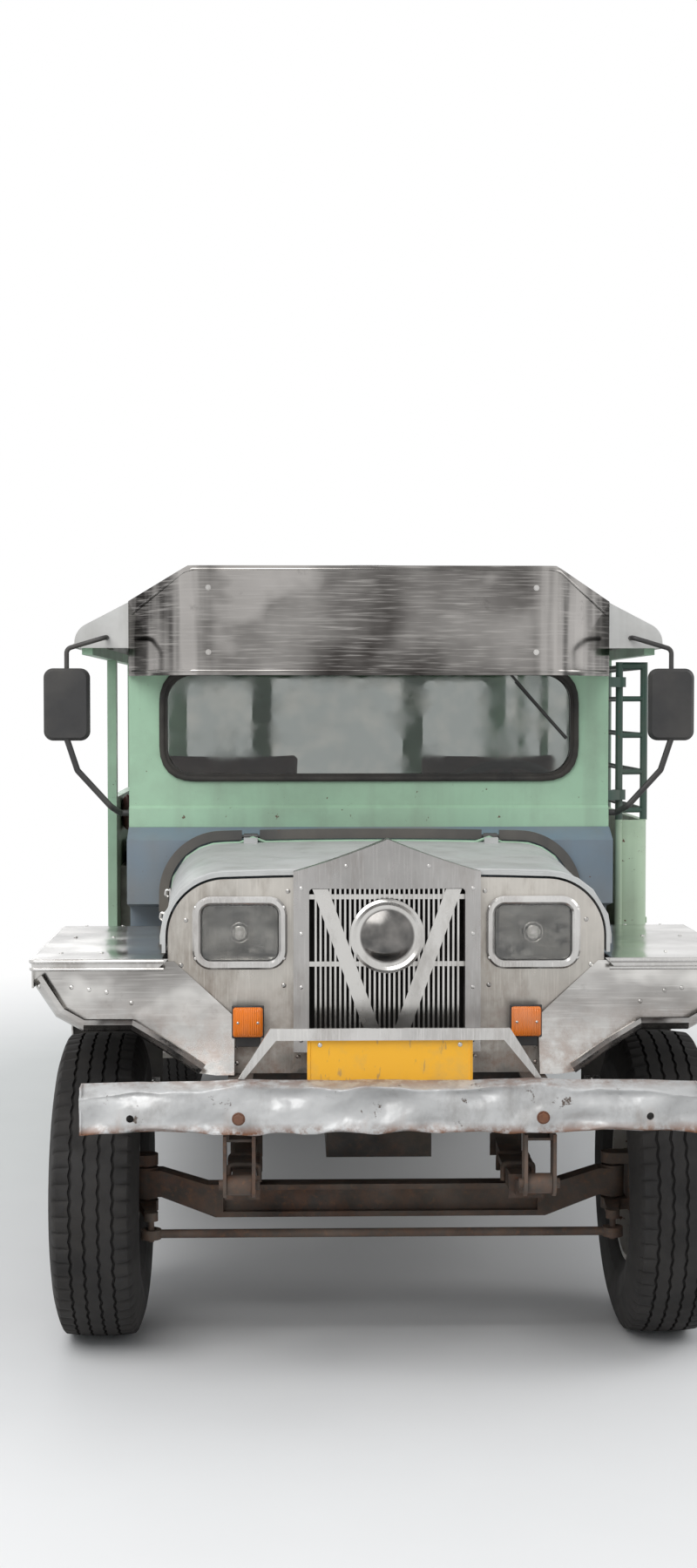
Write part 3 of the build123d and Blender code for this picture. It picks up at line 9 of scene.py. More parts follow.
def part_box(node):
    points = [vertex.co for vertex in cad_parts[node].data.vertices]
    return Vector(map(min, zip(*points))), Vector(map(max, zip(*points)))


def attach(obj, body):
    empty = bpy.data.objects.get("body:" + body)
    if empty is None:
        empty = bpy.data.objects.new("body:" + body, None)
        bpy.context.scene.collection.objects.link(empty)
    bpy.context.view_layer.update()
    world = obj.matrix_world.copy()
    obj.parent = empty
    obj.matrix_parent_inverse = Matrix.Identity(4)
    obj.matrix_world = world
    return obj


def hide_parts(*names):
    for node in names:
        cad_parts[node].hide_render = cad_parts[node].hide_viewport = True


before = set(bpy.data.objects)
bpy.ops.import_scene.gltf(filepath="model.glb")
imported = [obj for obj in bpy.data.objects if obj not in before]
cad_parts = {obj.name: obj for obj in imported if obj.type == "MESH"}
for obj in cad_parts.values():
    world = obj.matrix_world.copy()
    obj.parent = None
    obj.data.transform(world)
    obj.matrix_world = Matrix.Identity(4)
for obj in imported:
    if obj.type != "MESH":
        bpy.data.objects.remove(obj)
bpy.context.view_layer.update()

bl_info = {
    "name": "Jeepney dressing",
    "version": (1, 0, 0),
    "blender": (4, 5, 0),
    "location": "View3D > Sidebar > Jeepney",
    "description": "Finishes, tyres, seats and fittings for the packed jeepney",
    "category": "Object",
}

FRONT_AXLE_Y = -2.330
REAR_AXLE_Y = 1.120
WHEEL_X = 0.720
TYRE_RADIUS = 0.388
SPRING_X = 0.355
AHEAD_Y = -3.2
SIDES = ((-1, "right"), (1, "left"))
BACKWARD, FORWARD, DOWN, UP = (0, 1, 0), (0, -1, 0), (0, 0, -1), (0, 0, 1)
# Degrees up to which the edges of round bars and mouldings are shaded smooth
ROUND = 60
# The finishes, and the carried nodes whose material slot each one fills
MATERIALS = {}
NODE_FINISHES = {
    "mint_paint": ("windscreen_frame", "window_frames", "side_panels", "rear_panel"),
    "green_paint": ("driver_door", "door_hinges"),
    "slate_paint": ("cowl", "dashboard"),
    "silver_paint": ("hood",),
    "roof_paint": ("roof",),
    "mirror_steel": ("visor",),
    "bright_trim": ("lamp_bezels", "fender_trims", "hand_rails", "plate_guard"),
    "shell_steel": ("grille_shell",),
    "grille_trim": ("grille_bars",),
    "brushed_steel": ("nose_panel",),
    "fender_steel": ("fenders",),
    "bumper_paint": ("front_bumper",),
    "step_steel": ("steps",),
    "chassis_paint": ("frame_rails", "cross_members", "engine_block", "fuel_tank", "floor",
                      "steering_column"),
    "radiator_black": ("radiator",),
    "rusty_steel": ("front_axle_beam", "leaf_springs", "spring_hangers", "rear_axle", "propeller_shaft",
                    "exhaust", "knuckle_left", "knuckle_right", "tie_rod"),
    "wheel_paint": ("wheel_front_left", "wheel_front_right", "wheel_rear_left", "wheel_rear_right"),
    "black_rubber": ("windscreen_seal", "mud_flaps"),
    "black_plastic": ("wiper", "mirrors", "steering_wheel"),
    "window_glass": ("windscreen_glass",),
    "red_lens": ("rear_lamps",),
    "plate_yellow": ("number_plate",),
    "seat_wood": ("seat_boxes",),
}


# Materials

GRIME = (0.12, 0.105, 0.09)
WATER_STAIN = (0.16, 0.125, 0.095)
RUST = (0.17, 0.075, 0.035)
BRUSHED = (6, 6, 0.25)
SCRATCHED = (0.3, 0.3, 8)


def shade(colour, factor):
    return tuple(min(1.0, channel * factor) for channel in colour[:3])


class Surface:
    """The nodes of one material, read in Object coordinates."""

    def __init__(self, name, **constants):
        self.name = name
        self.material = bpy.data.materials.new(name)
        self.material.use_nodes = True
        self.tree = self.material.node_tree
        self.shader = self.tree.nodes["Principled BSDF"]
        self.place = self.tree.nodes.new("ShaderNodeTexCoord").outputs["Object"]
        for socket, value in constants.items():
            self.shader.inputs[socket.replace("_", " ").title().replace("Ior", "IOR")].default_value = value

    def put(self, value, socket):
        """Links a socket, or sets a plain number or colour."""
        if isinstance(value, bpy.types.NodeSocket):
            self.tree.links.new(value, socket)
        elif isinstance(value, (tuple, list)) and len(value) == 3 and socket.type == "RGBA":
            socket.default_value = (*value, 1)
        else:
            socket.default_value = value

    def node(self, kind, settings=(), **inputs):
        """A new node with its settings, and with its inputs linked or set."""
        node = self.tree.nodes.new(kind)
        for name, value in dict(settings).items():
            setattr(node, name, value)
        for name, value in inputs.items():
            self.put(value, node.inputs[name.replace("_", " ")])
        return node

    def stretched(self, stretch, turn=(0, 0, 0), shift=0.0):
        return self.node("ShaderNodeMapping", Vector=self.place, Scale=stretch,
                         Location=(shift, shift, shift),
                         Rotation=[radians(angle) for angle in turn]).outputs["Vector"]

    def noise(self, scale, detail=3, stretch=(1, 1, 1), turn=(0, 0, 0), shift=0.0, rough=0.5):
        return self.node("ShaderNodeTexNoise", Vector=self.stretched(stretch, turn, shift), Scale=scale,
                         Detail=detail, Roughness=rough).outputs["Fac"]

    def cells(self, scale):
        return self.node("ShaderNodeTexVoronoi", Vector=self.place, Scale=scale).outputs["Distance"]

    def waves(self, scale, direction):
        return self.node("ShaderNodeTexWave", {"bands_direction": direction}, Vector=self.place,
                         Scale=scale,
                         Distortion=0.0).outputs["Fac"]

    def spread(self, source, low, high, at_low=0.0, at_high=1.0):
        """Maps low..high to at_low..at_high, held at both ends."""
        return self.node("ShaderNodeMapRange", Value=source, From_Min=low, From_Max=high, To_Min=at_low,
                         To_Max=at_high).outputs["Result"]

    def ramp(self, axis, low, high, at_low=0.0, at_high=1.0):
        """A change along one axis of the vehicle."""
        place = self.node("ShaderNodeSeparateXYZ", Vector=self.place).outputs[axis]
        return self.spread(place, low, high, at_low, at_high)

    def patches(self, scale, detail, low, high, most=1.0, least=0.0, **noise):
        """Cloudy patches: least where the noise is below low, most where it is above high."""
        return self.spread(self.noise(scale, detail, **noise), low, high, least, most)

    def sum(self, first, second, operation="ADD"):
        held = operation in ("ADD", "SUBTRACT")
        node = self.node("ShaderNodeMath", {"operation": operation, "use_clamp": held})
        self.put(first, node.inputs[0])
        self.put(second, node.inputs[1])
        return node.outputs[0]

    def times(self, first, second):
        return self.sum(first, second, "MULTIPLY")

    def most(self, first, *others):
        for other in others:
            first = self.sum(first, other, "MAXIMUM")
        return first

    def mix(self, amount, first, second):
        node = self.node("ShaderNodeMix", {"data_type": "RGBA"})
        for index, value in ((0, amount), (6, first), (7, second)):
            self.put(value, node.inputs[index])
        return node.outputs[2]

    def stain(self, base, colour, *patches, **noise):
        """A second colour over the first one, in patches."""
        return self.mix(self.patches(*patches, **noise), base, colour)

    def worn(self, scale, detail, least, most, low=0.3, high=0.75, **noise):
        """Roughness that changes from place to place."""
        return self.patches(scale, detail, low, high, most, least, **noise)

    def finish(self, colour, roughness, bumps=()):
        """Colour and roughness, then each bump as (height, strength, distance in metres)."""
        self.put(colour, self.shader.inputs["Base Color"])
        self.put(roughness, self.shader.inputs["Roughness"])
        last = None
        for height, strength, distance in bumps:
            node = self.node("ShaderNodeBump", Strength=strength, Distance=distance, Height=height)
            if last:
                self.put(last, node.inputs["Normal"])
            last = node.outputs["Normal"]
        if last:
            self.put(last, self.shader.inputs["Normal"])
        MATERIALS[self.name] = self.material


def painted(name, colour, roughness=0.42, dust=0.35, chips=0.0, dents=0.0, low=0.5, high=1.5, second=None):
    """Old sprayed paint: patches of fading, rain streaks, dust low down and small chips to bare rust.

    second is a second colour and the ramp of its share, for a node with two colours or with painted shade
    over part of it.
    """
    surface = Surface(name, coat_weight=0.15, coat_roughness=0.25)
    look = surface.stain(shade(colour, 0.9), shade(colour, 1.12), 1.7, 5, 0.35, 0.7)
    if second:
        other, *share = second
        look = surface.mix(surface.ramp(*share), look, other)
    look = surface.stain(look, (0.16, 0.15, 0.13), 13, 4, 0.5, 0.8, 0.32, stretch=(1, 1, 0.07))
    look = surface.stain(look, GRIME, 5.5, 7, 0.45, 0.8, 0.3, rough=0.65)
    dusty = surface.times(surface.ramp("Z", low, high, dust, 0.04), surface.patches(3.3, 6, 0.25, 0.65))
    look = surface.mix(dusty, look, (0.30, 0.26, 0.21))
    chip_level = 0.70 - 0.1 * chips
    speck = surface.patches(38, 5, chip_level, chip_level + 0.03, rough=0.7)
    look = surface.mix(speck, look, (0.10, 0.045, 0.025))
    surface.finish(look, surface.worn(8, 6, roughness, roughness + 0.25), (
        (surface.noise(2.6, 2), 0.25 + dents, 0.012), (surface.noise(420, 2), 0.06, 0.0006),
        (speck, 0.3, -0.0005)))


def sheet_metal(name, colour, roughness=0.3, stains=0.4, rust=0.0, dents=0.3, low=0.6, high=1.0,
                scratch=0.3):
    """Bare sheet: soft waves, brushed scratches, water stains and rust that creeps up from the low edge."""
    metal = 0.92
    surface = Surface(name)
    look = surface.stain(shade(colour, 0.76), shade(colour, 1.14), 2.4, 6, 0.35, 0.7, rough=0.6)
    look = surface.stain(look, WATER_STAIN, 7, 7, 0.48, 0.74, stains, stretch=(1, 1, 0.35), rough=0.68)
    look = surface.stain(look, shade(colour, 1.3), 46, 3, 0.52, 0.72, scratch, stretch=BRUSHED,
                         turn=(0, 24, 0))
    creep = surface.times(surface.ramp("Z", low, high, rust, 0.0),
                          surface.patches(16, 7, 0.38, 0.6, rough=0.7))
    look = surface.mix(creep, look, RUST)
    rough = surface.sum(surface.worn(5, 6, roughness, roughness + 0.22, rough=0.6),
                        surface.times(creep, 0.5))
    surface.put(surface.sum(metal, surface.times(creep, 0.9), "SUBTRACT"),
                surface.shader.inputs["Metallic"])
    surface.finish(look, rough, (
        (surface.noise(3.4, 2), dents, 0.02), (surface.noise(52, 3, BRUSHED), 0.05, 0.0012),
        (creep, 0.3, 0.001)))


def polished(name, light, dark, roughness=0.07, grain=(1, 1, 1), scale=2.2, rust=0.0, low=0.6, high=1.0,
             hairs=0.6, ends=0.0):
    """Mirror sheet: painted reflections in broad dark and light patches, with brighter painted highlights,
    fine scratches along it and rust along its low edge.

    ends is where along X the upright painted reflection streaks of a bent end begin, or 0 for none.
    """
    surface = Surface(name, metallic=1.0)
    tilt = {"stretch": grain, "turn": (0, 14, 0)}
    # Painted reflections: broad patches of the dark and the light colour
    look = surface.stain(dark, light, scale, 4, 0.36, 0.66, **tilt)
    # Painted highlights: brighter patches over the reflections
    look = surface.stain(look, shade(light, 1.35), scale * 1.7, 3, 0.56, 0.66, 0.55, shift=4.0, **tilt)
    # Painted reflection streaks, upright, over the bent ends
    if ends:
        reflection_streaks = surface.stain(shade(dark, 0.4), shade(light, 1.25), 7, 3, 0.4, 0.6,
                                 stretch=(1.6, 1, 0.12),
                                 shift=2.0)
        width = surface.most(surface.ramp("X", ends, ends + 0.06),
                             surface.ramp("X", -ends - 0.06, -ends, 1.0, 0.0))
        look = surface.mix(surface.times(width, 0.75), look, reflection_streaks)
    hair = surface.patches(24, 6, 0.53, 0.68, hairs, stretch=SCRATCHED, turn=(0, 6, 0))
    faint = surface.patches(17, 5, 0.55, 0.7, hairs * 0.6, stretch=SCRATCHED, turn=(0, -9, 0), shift=3.0)
    look = surface.mix(surface.most(hair, faint), look, shade(light, 1.2))
    look = surface.stain(look, shade(dark, 0.7), 9, 7, 0.62, 0.76, 0.45, rough=0.7)
    creep = surface.times(surface.ramp("Z", low, high, rust, 0.0),
                          surface.patches(18, 7, 0.4, 0.6, rough=0.7))
    look = surface.mix(creep, look, RUST)
    rough = surface.sum(surface.worn(6, 5, roughness, roughness + 0.14, 0.35), surface.times(creep, 0.5))
    surface.finish(look, rough, (
        (surface.noise(3.0, 2), 0.4, 0.02), (surface.noise(24, 4, SCRATCHED, (0, 6, 0)), 0.04, 0.0008)))


def rusty(name, colour, rust=0.5):
    """Chassis steel: old black paint, scale, mud dust and rust blooms."""
    surface = Surface(name, metallic=0.1)
    scale = surface.patches(21, 8, 0.42, 0.62, rust, rough=0.7)
    look = surface.mix(scale, colour, (0.11, 0.052, 0.03))
    look = surface.stain(look, (0.25, 0.10, 0.035), 47, 6, 0.55, 0.75, rust * 0.7, rough=0.7)
    look = surface.stain(look, (0.24, 0.20, 0.16), 4, 6, 0.4, 0.8, 0.5, 0.05)
    surface.finish(look, surface.worn(11, 5, 0.6, 0.92, high=0.7), (
        (surface.noise(95, 6, rough=0.7), 0.3, 0.002), (scale, 0.25, 0.0015)))


def flaking(name, colour):
    """Thick silver paint brushed over a knocked bumper: lumps, flakes down to dark steel and rusty edges."""
    surface = Surface(name, metallic=0.25, coat_weight=0.1, coat_roughness=0.3)
    look = surface.stain(shade(colour, 0.82), shade(colour, 1.15), 5, 6, 0.35, 0.7, rough=0.6)
    look = surface.stain(look, (0.20, 0.185, 0.17), 11, 7, 0.54, 0.74, 0.55, stretch=(1, 1, 0.6),
                         rough=0.66)
    flake = surface.patches(16, 8, 0.63, 0.66, rough=0.72)
    edge = surface.most(surface.ramp("Z", 0.634, 0.660, 1.0, 0.0),
                        surface.ramp("Z", 0.735, 0.752, 0.0, 0.6))
    eaten = surface.times(edge, surface.patches(24, 7, 0.42, 0.56, rough=0.7))
    look = surface.mix(flake, look, (0.10, 0.075, 0.06))
    look = surface.mix(eaten, look, (0.19, 0.075, 0.03))
    weep = surface.times(surface.patches(12, 5, 0.6, 0.74, stretch=(1, 1, 0.1), shift=6.0),
                         surface.ramp("Z", 0.63, 0.70, 0.7, 0.0))
    look = surface.mix(weep, look, (0.33, 0.15, 0.06))
    rough = surface.sum(surface.worn(14, 5, 0.3, 0.52), surface.times(eaten, 0.3))
    surface.finish(look, rough, (
        (surface.noise(12, 3), 0.75, 0.012), (surface.noise(46, 4), 0.4, 0.0022),
        (surface.sum(flake, eaten), 0.5, -0.0012)))


def rubber(name, colour, dust=0.4, grain=0.15):
    surface = Surface(name, specular_ior_level=0.35)
    look = surface.stain(colour, (0.235, 0.205, 0.17), 9, 7, 0.35, 0.75, dust, 0.04, rough=0.65)
    look = surface.stain(look, shade(colour, 2.6), 60, 5, 0.58, 0.7, 0.3)
    surface.finish(look, surface.worn(14, 4, 0.68, 0.93, high=0.7), (
        (surface.noise(210, 4), grain, 0.0012), (surface.noise(30, 3), grain, 0.002)))


def plastic(name, colour):
    surface = Surface(name)
    look = surface.stain(colour, (0.22, 0.2, 0.17), 7, 6, 0.4, 0.8, 0.22, 0.02)
    surface.finish(look, surface.worn(19, 4, 0.45, 0.65, high=0.7),
                   ((surface.noise(600, 2), 0.12, 0.0004),))


def lens(name, colour, clear, flutes=0.0, direction="X", roughness=0.1):
    """Clear or coloured moulding that lets what is behind it show."""
    surface = Surface(name, transmission_weight=clear, ior=1.45)
    look = surface.stain(colour, (0.5, 0.46, 0.4), 11, 6, 0.45, 0.8, 0.3)
    bumps = [(surface.noise(16, 4), 0.05, 0.001)]
    if flutes:
        bumps.append((surface.waves(flutes, direction), 0.7, 0.002))
    surface.finish(look, surface.worn(12, 5, roughness, roughness + 0.2, 0.35), bumps)


def vinyl(name, colour):
    """Cushion cloth: grained vinyl, rubbed pale in patches."""
    surface = Surface(name, coat_weight=0.12, coat_roughness=0.35)
    look = surface.stain(shade(colour, 0.75), shade(colour, 1.25), 4.5, 5, 0.35, 0.7)
    look = surface.stain(look, (0.30, 0.24, 0.2), 13, 6, 0.52, 0.8, 0.4, rough=0.6)
    surface.finish(look, surface.worn(10, 4, 0.4, 0.62, high=0.7), (
        (surface.cells(420), 0.22, 0.0012), (surface.noise(24, 4), 0.12, 0.003)))


def timber(name, colour):
    surface = Surface(name)
    grain = surface.noise(26, 6, (1, 0.06, 1), rough=0.6)
    look = surface.mix(surface.spread(grain, 0.4, 0.7), shade(colour, 0.7), shade(colour, 1.1))
    look = surface.stain(look, (0.21, 0.135, 0.08), 6, 6, 0.55, 0.72, 0.7, rough=0.65)
    surface.finish(look, surface.spread(grain, 0.3, 0.7, 0.55, 0.8), ((grain, 0.25, 0.0015),))


def grille_finish(name, colour):
    """The bright bars, and the disc on them, which is dark and brushed inside its bright ring."""
    surface = Surface(name, metallic=0.95)
    up = surface.ramp("Z", 0.974, 1.174, -0.1, 0.1)
    across = surface.ramp("X", -0.1, 0.1, -0.1, 0.1)
    away = surface.sum(surface.times(up, up), surface.times(across, across))
    inside = surface.spread(away, 0.0040, 0.0046, 1.0, 0.0)
    ahead = surface.ramp("Y", -2.722, -2.721, 1.0, 0.0)
    look = surface.stain(colour, (0.13, 0.11, 0.09), 9, 6, 0.48, 0.75, 0.6, stretch=(1, 1, 0.4), rough=0.65)
    disc = surface.stain((0.10, 0.098, 0.095), (0.22, 0.21, 0.20), 22, 5, 0.35, 0.65)
    look = surface.mix(surface.times(inside, ahead), look, disc)
    surface.finish(look, surface.worn(11, 5, 0.13, 0.34), ((surface.noise(30, 3), 0.05, 0.001),))


def plate_finish(name, colour):
    """Pressed plate: enamel that has faded and scuffed, with a bare grey back."""
    surface = Surface(name, coat_weight=0.2)
    look = surface.stain(colour, (0.55, 0.36, 0.12), 14, 6, 0.5, 0.75, 0.45, rough=0.65)
    look = surface.stain(look, (0.30, 0.2, 0.1), 60, 4, 0.62, 0.68, 0.6, stretch=(1, 1, 0.3))
    look = surface.mix(surface.ramp("Y", -2.8750, -2.8745), look, (0.22, 0.22, 0.215))
    surface.finish(look, surface.worn(12, 4, 0.35, 0.6, high=0.7), ((surface.noise(18, 3), 0.2, 0.002),))


# Making pieces

def new_piece(name, bm, finish, body="body", smooth=35, bevel=0.0, segments=2, replaces=None):
    """Turns a bmesh into a finished piece that rides on a body, and may replace a carried node."""
    bmesh.ops.remove_doubles(bm, verts=bm.verts, dist=1e-6)
    bmesh.ops.recalc_face_normals(bm, faces=bm.faces)
    if all(edge.is_manifold for edge in bm.edges) and bm.calc_volume(signed=True) < 0:
        bmesh.ops.reverse_faces(bm, faces=bm.faces)
    piece = new_object(name, bm)
    if bevel:
        modifier = piece.modifiers.new("Edges", "BEVEL")
        modifier.width = bevel
        modifier.segments = segments
        modifier.limit_method = "ANGLE"
        modifier.harden_normals = False
    piece.data.set_sharp_from_angle(angle=radians(smooth))
    dress(piece, finish)
    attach(piece, body)
    if replaces:
        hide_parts(replaces)
    return piece


def new_object(name, bm):
    mesh = bpy.data.meshes.new(name)
    bm.to_mesh(mesh)
    bm.free()
    piece = bpy.data.objects.new(name, mesh)
    bpy.context.collection.objects.link(piece)
    return piece


def dress(piece, finish):
    """Shades a new piece smooth and gives it its finish."""
    for polygon in piece.data.polygons:
        polygon.use_smooth = True
    piece.data.materials.append(MATERIALS[finish])


def apply_modifiers(piece):
    """Makes what the modifiers show the piece's own mesh."""
    evaluated = piece.evaluated_get(bpy.context.evaluated_depsgraph_get())
    made = bpy.data.meshes.new_from_object(evaluated)
    old = piece.data
    piece.modifiers.clear()
    piece.data = made
    bpy.data.meshes.remove(old)


def corners_of(node):
    """The lowest and the highest corner of a carried node."""
    return [Vector(corner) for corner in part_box(node)]


def add_box(bm, low, high):
    """A box between two corners."""
    low, high = Vector(low), Vector(high)
    made = bmesh.ops.create_cube(bm, size=1)["verts"]
    bmesh.ops.scale(bm, vec=high - low, verts=made)
    bmesh.ops.translate(bm, vec=(low + high) / 2, verts=made)
    return made


def round_edges(bm, edges, radius, segments):
    bmesh.ops.bevel(bm, geom=edges, offset=radius, segments=segments, profile=0.5, affect="EDGES",
                    material=-1)


def round_corners(bm, radius, segments):
    """Rounds the edges of a block that run from front to back."""
    round_edges(bm, [edge for edge in bm.edges if abs((edge.verts[0].co - edge.verts[1].co).y) > 0.001],
                radius,
                segments)


def front_face(bm):
    return min(bm.faces, key=lambda item: item.calc_center_median().y)


def turned_to(direction):
    return Vector(UP).rotation_difference(Vector(direction)).to_matrix().to_4x4()


def add_rod(bm, start, end, radius, sides=16, end_radius=None):
    """A round bar, or a cone, from one point to another."""
    start, end = Vector(start), Vector(end)
    made = bmesh.ops.create_cone(bm, cap_ends=True, segments=sides, radius1=radius,
                                 radius2=radius if end_radius is None else end_radius,
                                 depth=(end - start).length)["verts"]
    bmesh.ops.transform(bm, matrix=Matrix.Translation((start + end) / 2) @ turned_to(end - start),
                        verts=made)


def add_dome(bm, centre, normal, radius, height, sides=10):
    """A low rivet head on a surface."""
    made = bmesh.ops.create_uvsphere(bm, u_segments=sides, v_segments=6, radius=1)["verts"]
    bmesh.ops.scale(bm, vec=(radius, radius, height), verts=made)
    bmesh.ops.transform(bm, matrix=Matrix.Translation(centre) @ turned_to(normal), verts=made)


def add_domes(bm, points, normal, radius, height):
    for point in points:
        add_dome(bm, point, normal, radius, height)


def rivet(bm, node, start, direction, radius, height):
    """A rivet head where a straight line from start first meets a carried node."""
    place, normal = settle(node, start, direction)
    add_dome(bm, place, normal, radius, height)


def add_bolt(bm, seat, normal, radius, height):
    """A washer and a hexagon head on a flat seat."""
    seat, normal = Vector(seat), Vector(normal).normalized()
    add_rod(bm, seat, seat + normal * height * 0.22, radius * 1.25, 16)
    add_rod(bm, seat + normal * height * 0.2, seat + normal * height, radius, 6)


def add_loop(bm, section):
    """A closed row of edges, as spin wants it."""
    verts = [bm.verts.new(point) for point in section]
    return verts + [bm.edges.new(pair) for pair in zip(verts, verts[1:] + verts[:1])]


def rounded_route(route, closed, bends):
    """The points of a route, with a curve of seven points in place of each corner."""
    smooth = []
    count = len(route)
    for index, point in enumerate(route):
        if not bends or (not closed and index in (0, count - 1)):
            smooth.append(point)
            continue
        before, after = route[index - 1], route[(index + 1) % count]
        back, ahead = (before - point).normalized(), (after - point).normalized()
        half = back.angle(ahead) / 2
        reach = min(bends / tan(half), 0.49 * (before - point).length, 0.49 * (after - point).length)
        first, last = point + back * reach, point + ahead * reach
        for step in range(7):
            share = step / 6
            smooth.append((1 - share) ** 2 * first + 2 * share * (1 - share) * point + share ** 2 * last)
    return smooth


def new_curve(name, points, closed, dimensions="3D"):
    """A curve of straight runs, and the object that holds it."""
    curve = bpy.data.curves.new(name, "CURVE")
    curve.dimensions = dimensions
    spline = curve.splines.new("POLY")
    spline.points.add(len(points) - 1)
    for item, point in zip(spline.points, points):
        item.co = (*point, 1)
    spline.use_cyclic_u = closed
    holder = bpy.data.objects.new(name, curve)
    bpy.context.collection.objects.link(holder)
    return curve, holder


def add_tube(bm, points, radius, closed=False, sides=8, bends=None, flat=None):
    """A bar along a route with rounded corners: radius thick, or with a flat (width, depth) section."""
    curve, holder = new_curve("route", rounded_route([Vector(point) for point in points], closed, bends),
                              closed)
    curve.bevel_mode = "ROUND"
    curve.bevel_depth = radius
    curve.bevel_resolution = max(1, sides // 4)
    curve.use_fill_caps = not closed
    if flat:
        x, y = flat[0] / 2, flat[1] / 2
        section = new_curve("section", [(-x, -y, 0), (x, -y, 0), (x, y, 0), (-x, y, 0)], True, "2D")[1]
        curve.bevel_mode = "OBJECT"
        curve.bevel_object = section
    made = bpy.data.meshes.new_from_object(holder.evaluated_get(bpy.context.evaluated_depsgraph_get()))
    bm.from_mesh(made)
    bpy.data.objects.remove(holder)
    bpy.data.curves.remove(curve)
    if flat:
        bpy.data.objects.remove(section)
    bpy.data.meshes.remove(made)


def add_grip(bm, x, foot_y, bar_y, low_z, high_z, radius, bends):
    """An upright grab handle with a foot at each end."""
    add_tube(bm, [(x, foot_y, low_z), (x, bar_y, low_z), (x, bar_y, high_z), (x, foot_y, high_z)], radius,
             bends=bends, sides=12)


def oblong(low_x, high_x, y, low_z, high_z):
    """The corners of an upright oblong that faces forward or back."""
    return [(low_x, y, low_z), (high_x, y, low_z), (high_x, y, high_z), (low_x, y, high_z)]


def ring(x, y, z, radius, count):
    """Points on a circle that faces forward or back."""
    return [(x + radius * cos(2 * pi * index / count), y, z + radius * sin(2 * pi * index / count))
            for index in range(count)]


def spread(start, end, count):
    """Evenly spaced points from start to end."""
    start, end = Vector(start), Vector(end)
    return [start.lerp(end, index / (count - 1)) for index in range(count)]


def settle(node, start, direction):
    """Where a straight line from start first meets a carried node, and the surface's direction there."""
    hit, place, normal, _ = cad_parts[node].ray_cast(Vector(start), Vector(direction))
    if not hit:
        raise RuntimeError(f"nothing of {node} lies on the line from {tuple(start)}")
    if normal.dot(Vector(direction)) > 0:
        normal = -normal
    return place, normal


# What a user may change

def colour_property(name, description, default):
    return bpy.props.FloatVectorProperty(name=name, description=description, default=default, size=3, min=0,
                                         max=1, subtype="COLOR")


def length_property(name, description, default):
    return bpy.props.FloatProperty(name=name, description=description, default=default, min=0,
                                   unit="LENGTH",
                                   subtype="DISTANCE")


class JeepneyColours(bpy.types.PropertyGroup):
    mint: colour_property("Mint", "Body paint round the windscreen and along the sides",
                          (0.35, 0.55, 0.385))
    green: colour_property("Light green", "Driver's door and its guard", (0.47, 0.62, 0.44))
    slate: colour_property("Slate", "Cowl and dashboard", (0.145, 0.21, 0.27))
    silver: colour_property("Silver", "Hood", (0.56, 0.57, 0.56))
    roof: colour_property("Roof", "Roof sheets", (0.66, 0.66, 0.64))
    plate: colour_property("Plate", "Blank front plate", (0.88, 0.44, 0.012))
    seats: colour_property("Seats", "Cushions and backs of the seats and benches", (0.085, 0.028, 0.022))


class JeepneySizes(bpy.types.PropertyGroup):
    tread_depth: length_property("Tread depth", "Depth of the grooves between the tread ribs", 0.009)
    zigzag: length_property("Zigzag", "How far the grooves swing to each side", 0.0022)
    rivet: length_property("Rivet", "Radius of the rivet heads on the sheet metal", 0.0055)
    rivet_pitch: length_property("Rivet pitch", "Distance between rivets along a seam", 0.055)
    cushion_crown: length_property("Cushion crown", "How far a cushion may swell", 0.016)
    camera_focal: bpy.props.FloatProperty(name="Focal length",
                                          description="Lens of the camera in millimetres",
                                          default=48.3, min=1, unit="CAMERA")
    soft_light: bpy.props.FloatProperty(name="Soft light",
                                        description="Power of the large lamp over the front",
                                        default=300, min=0, unit="POWER")


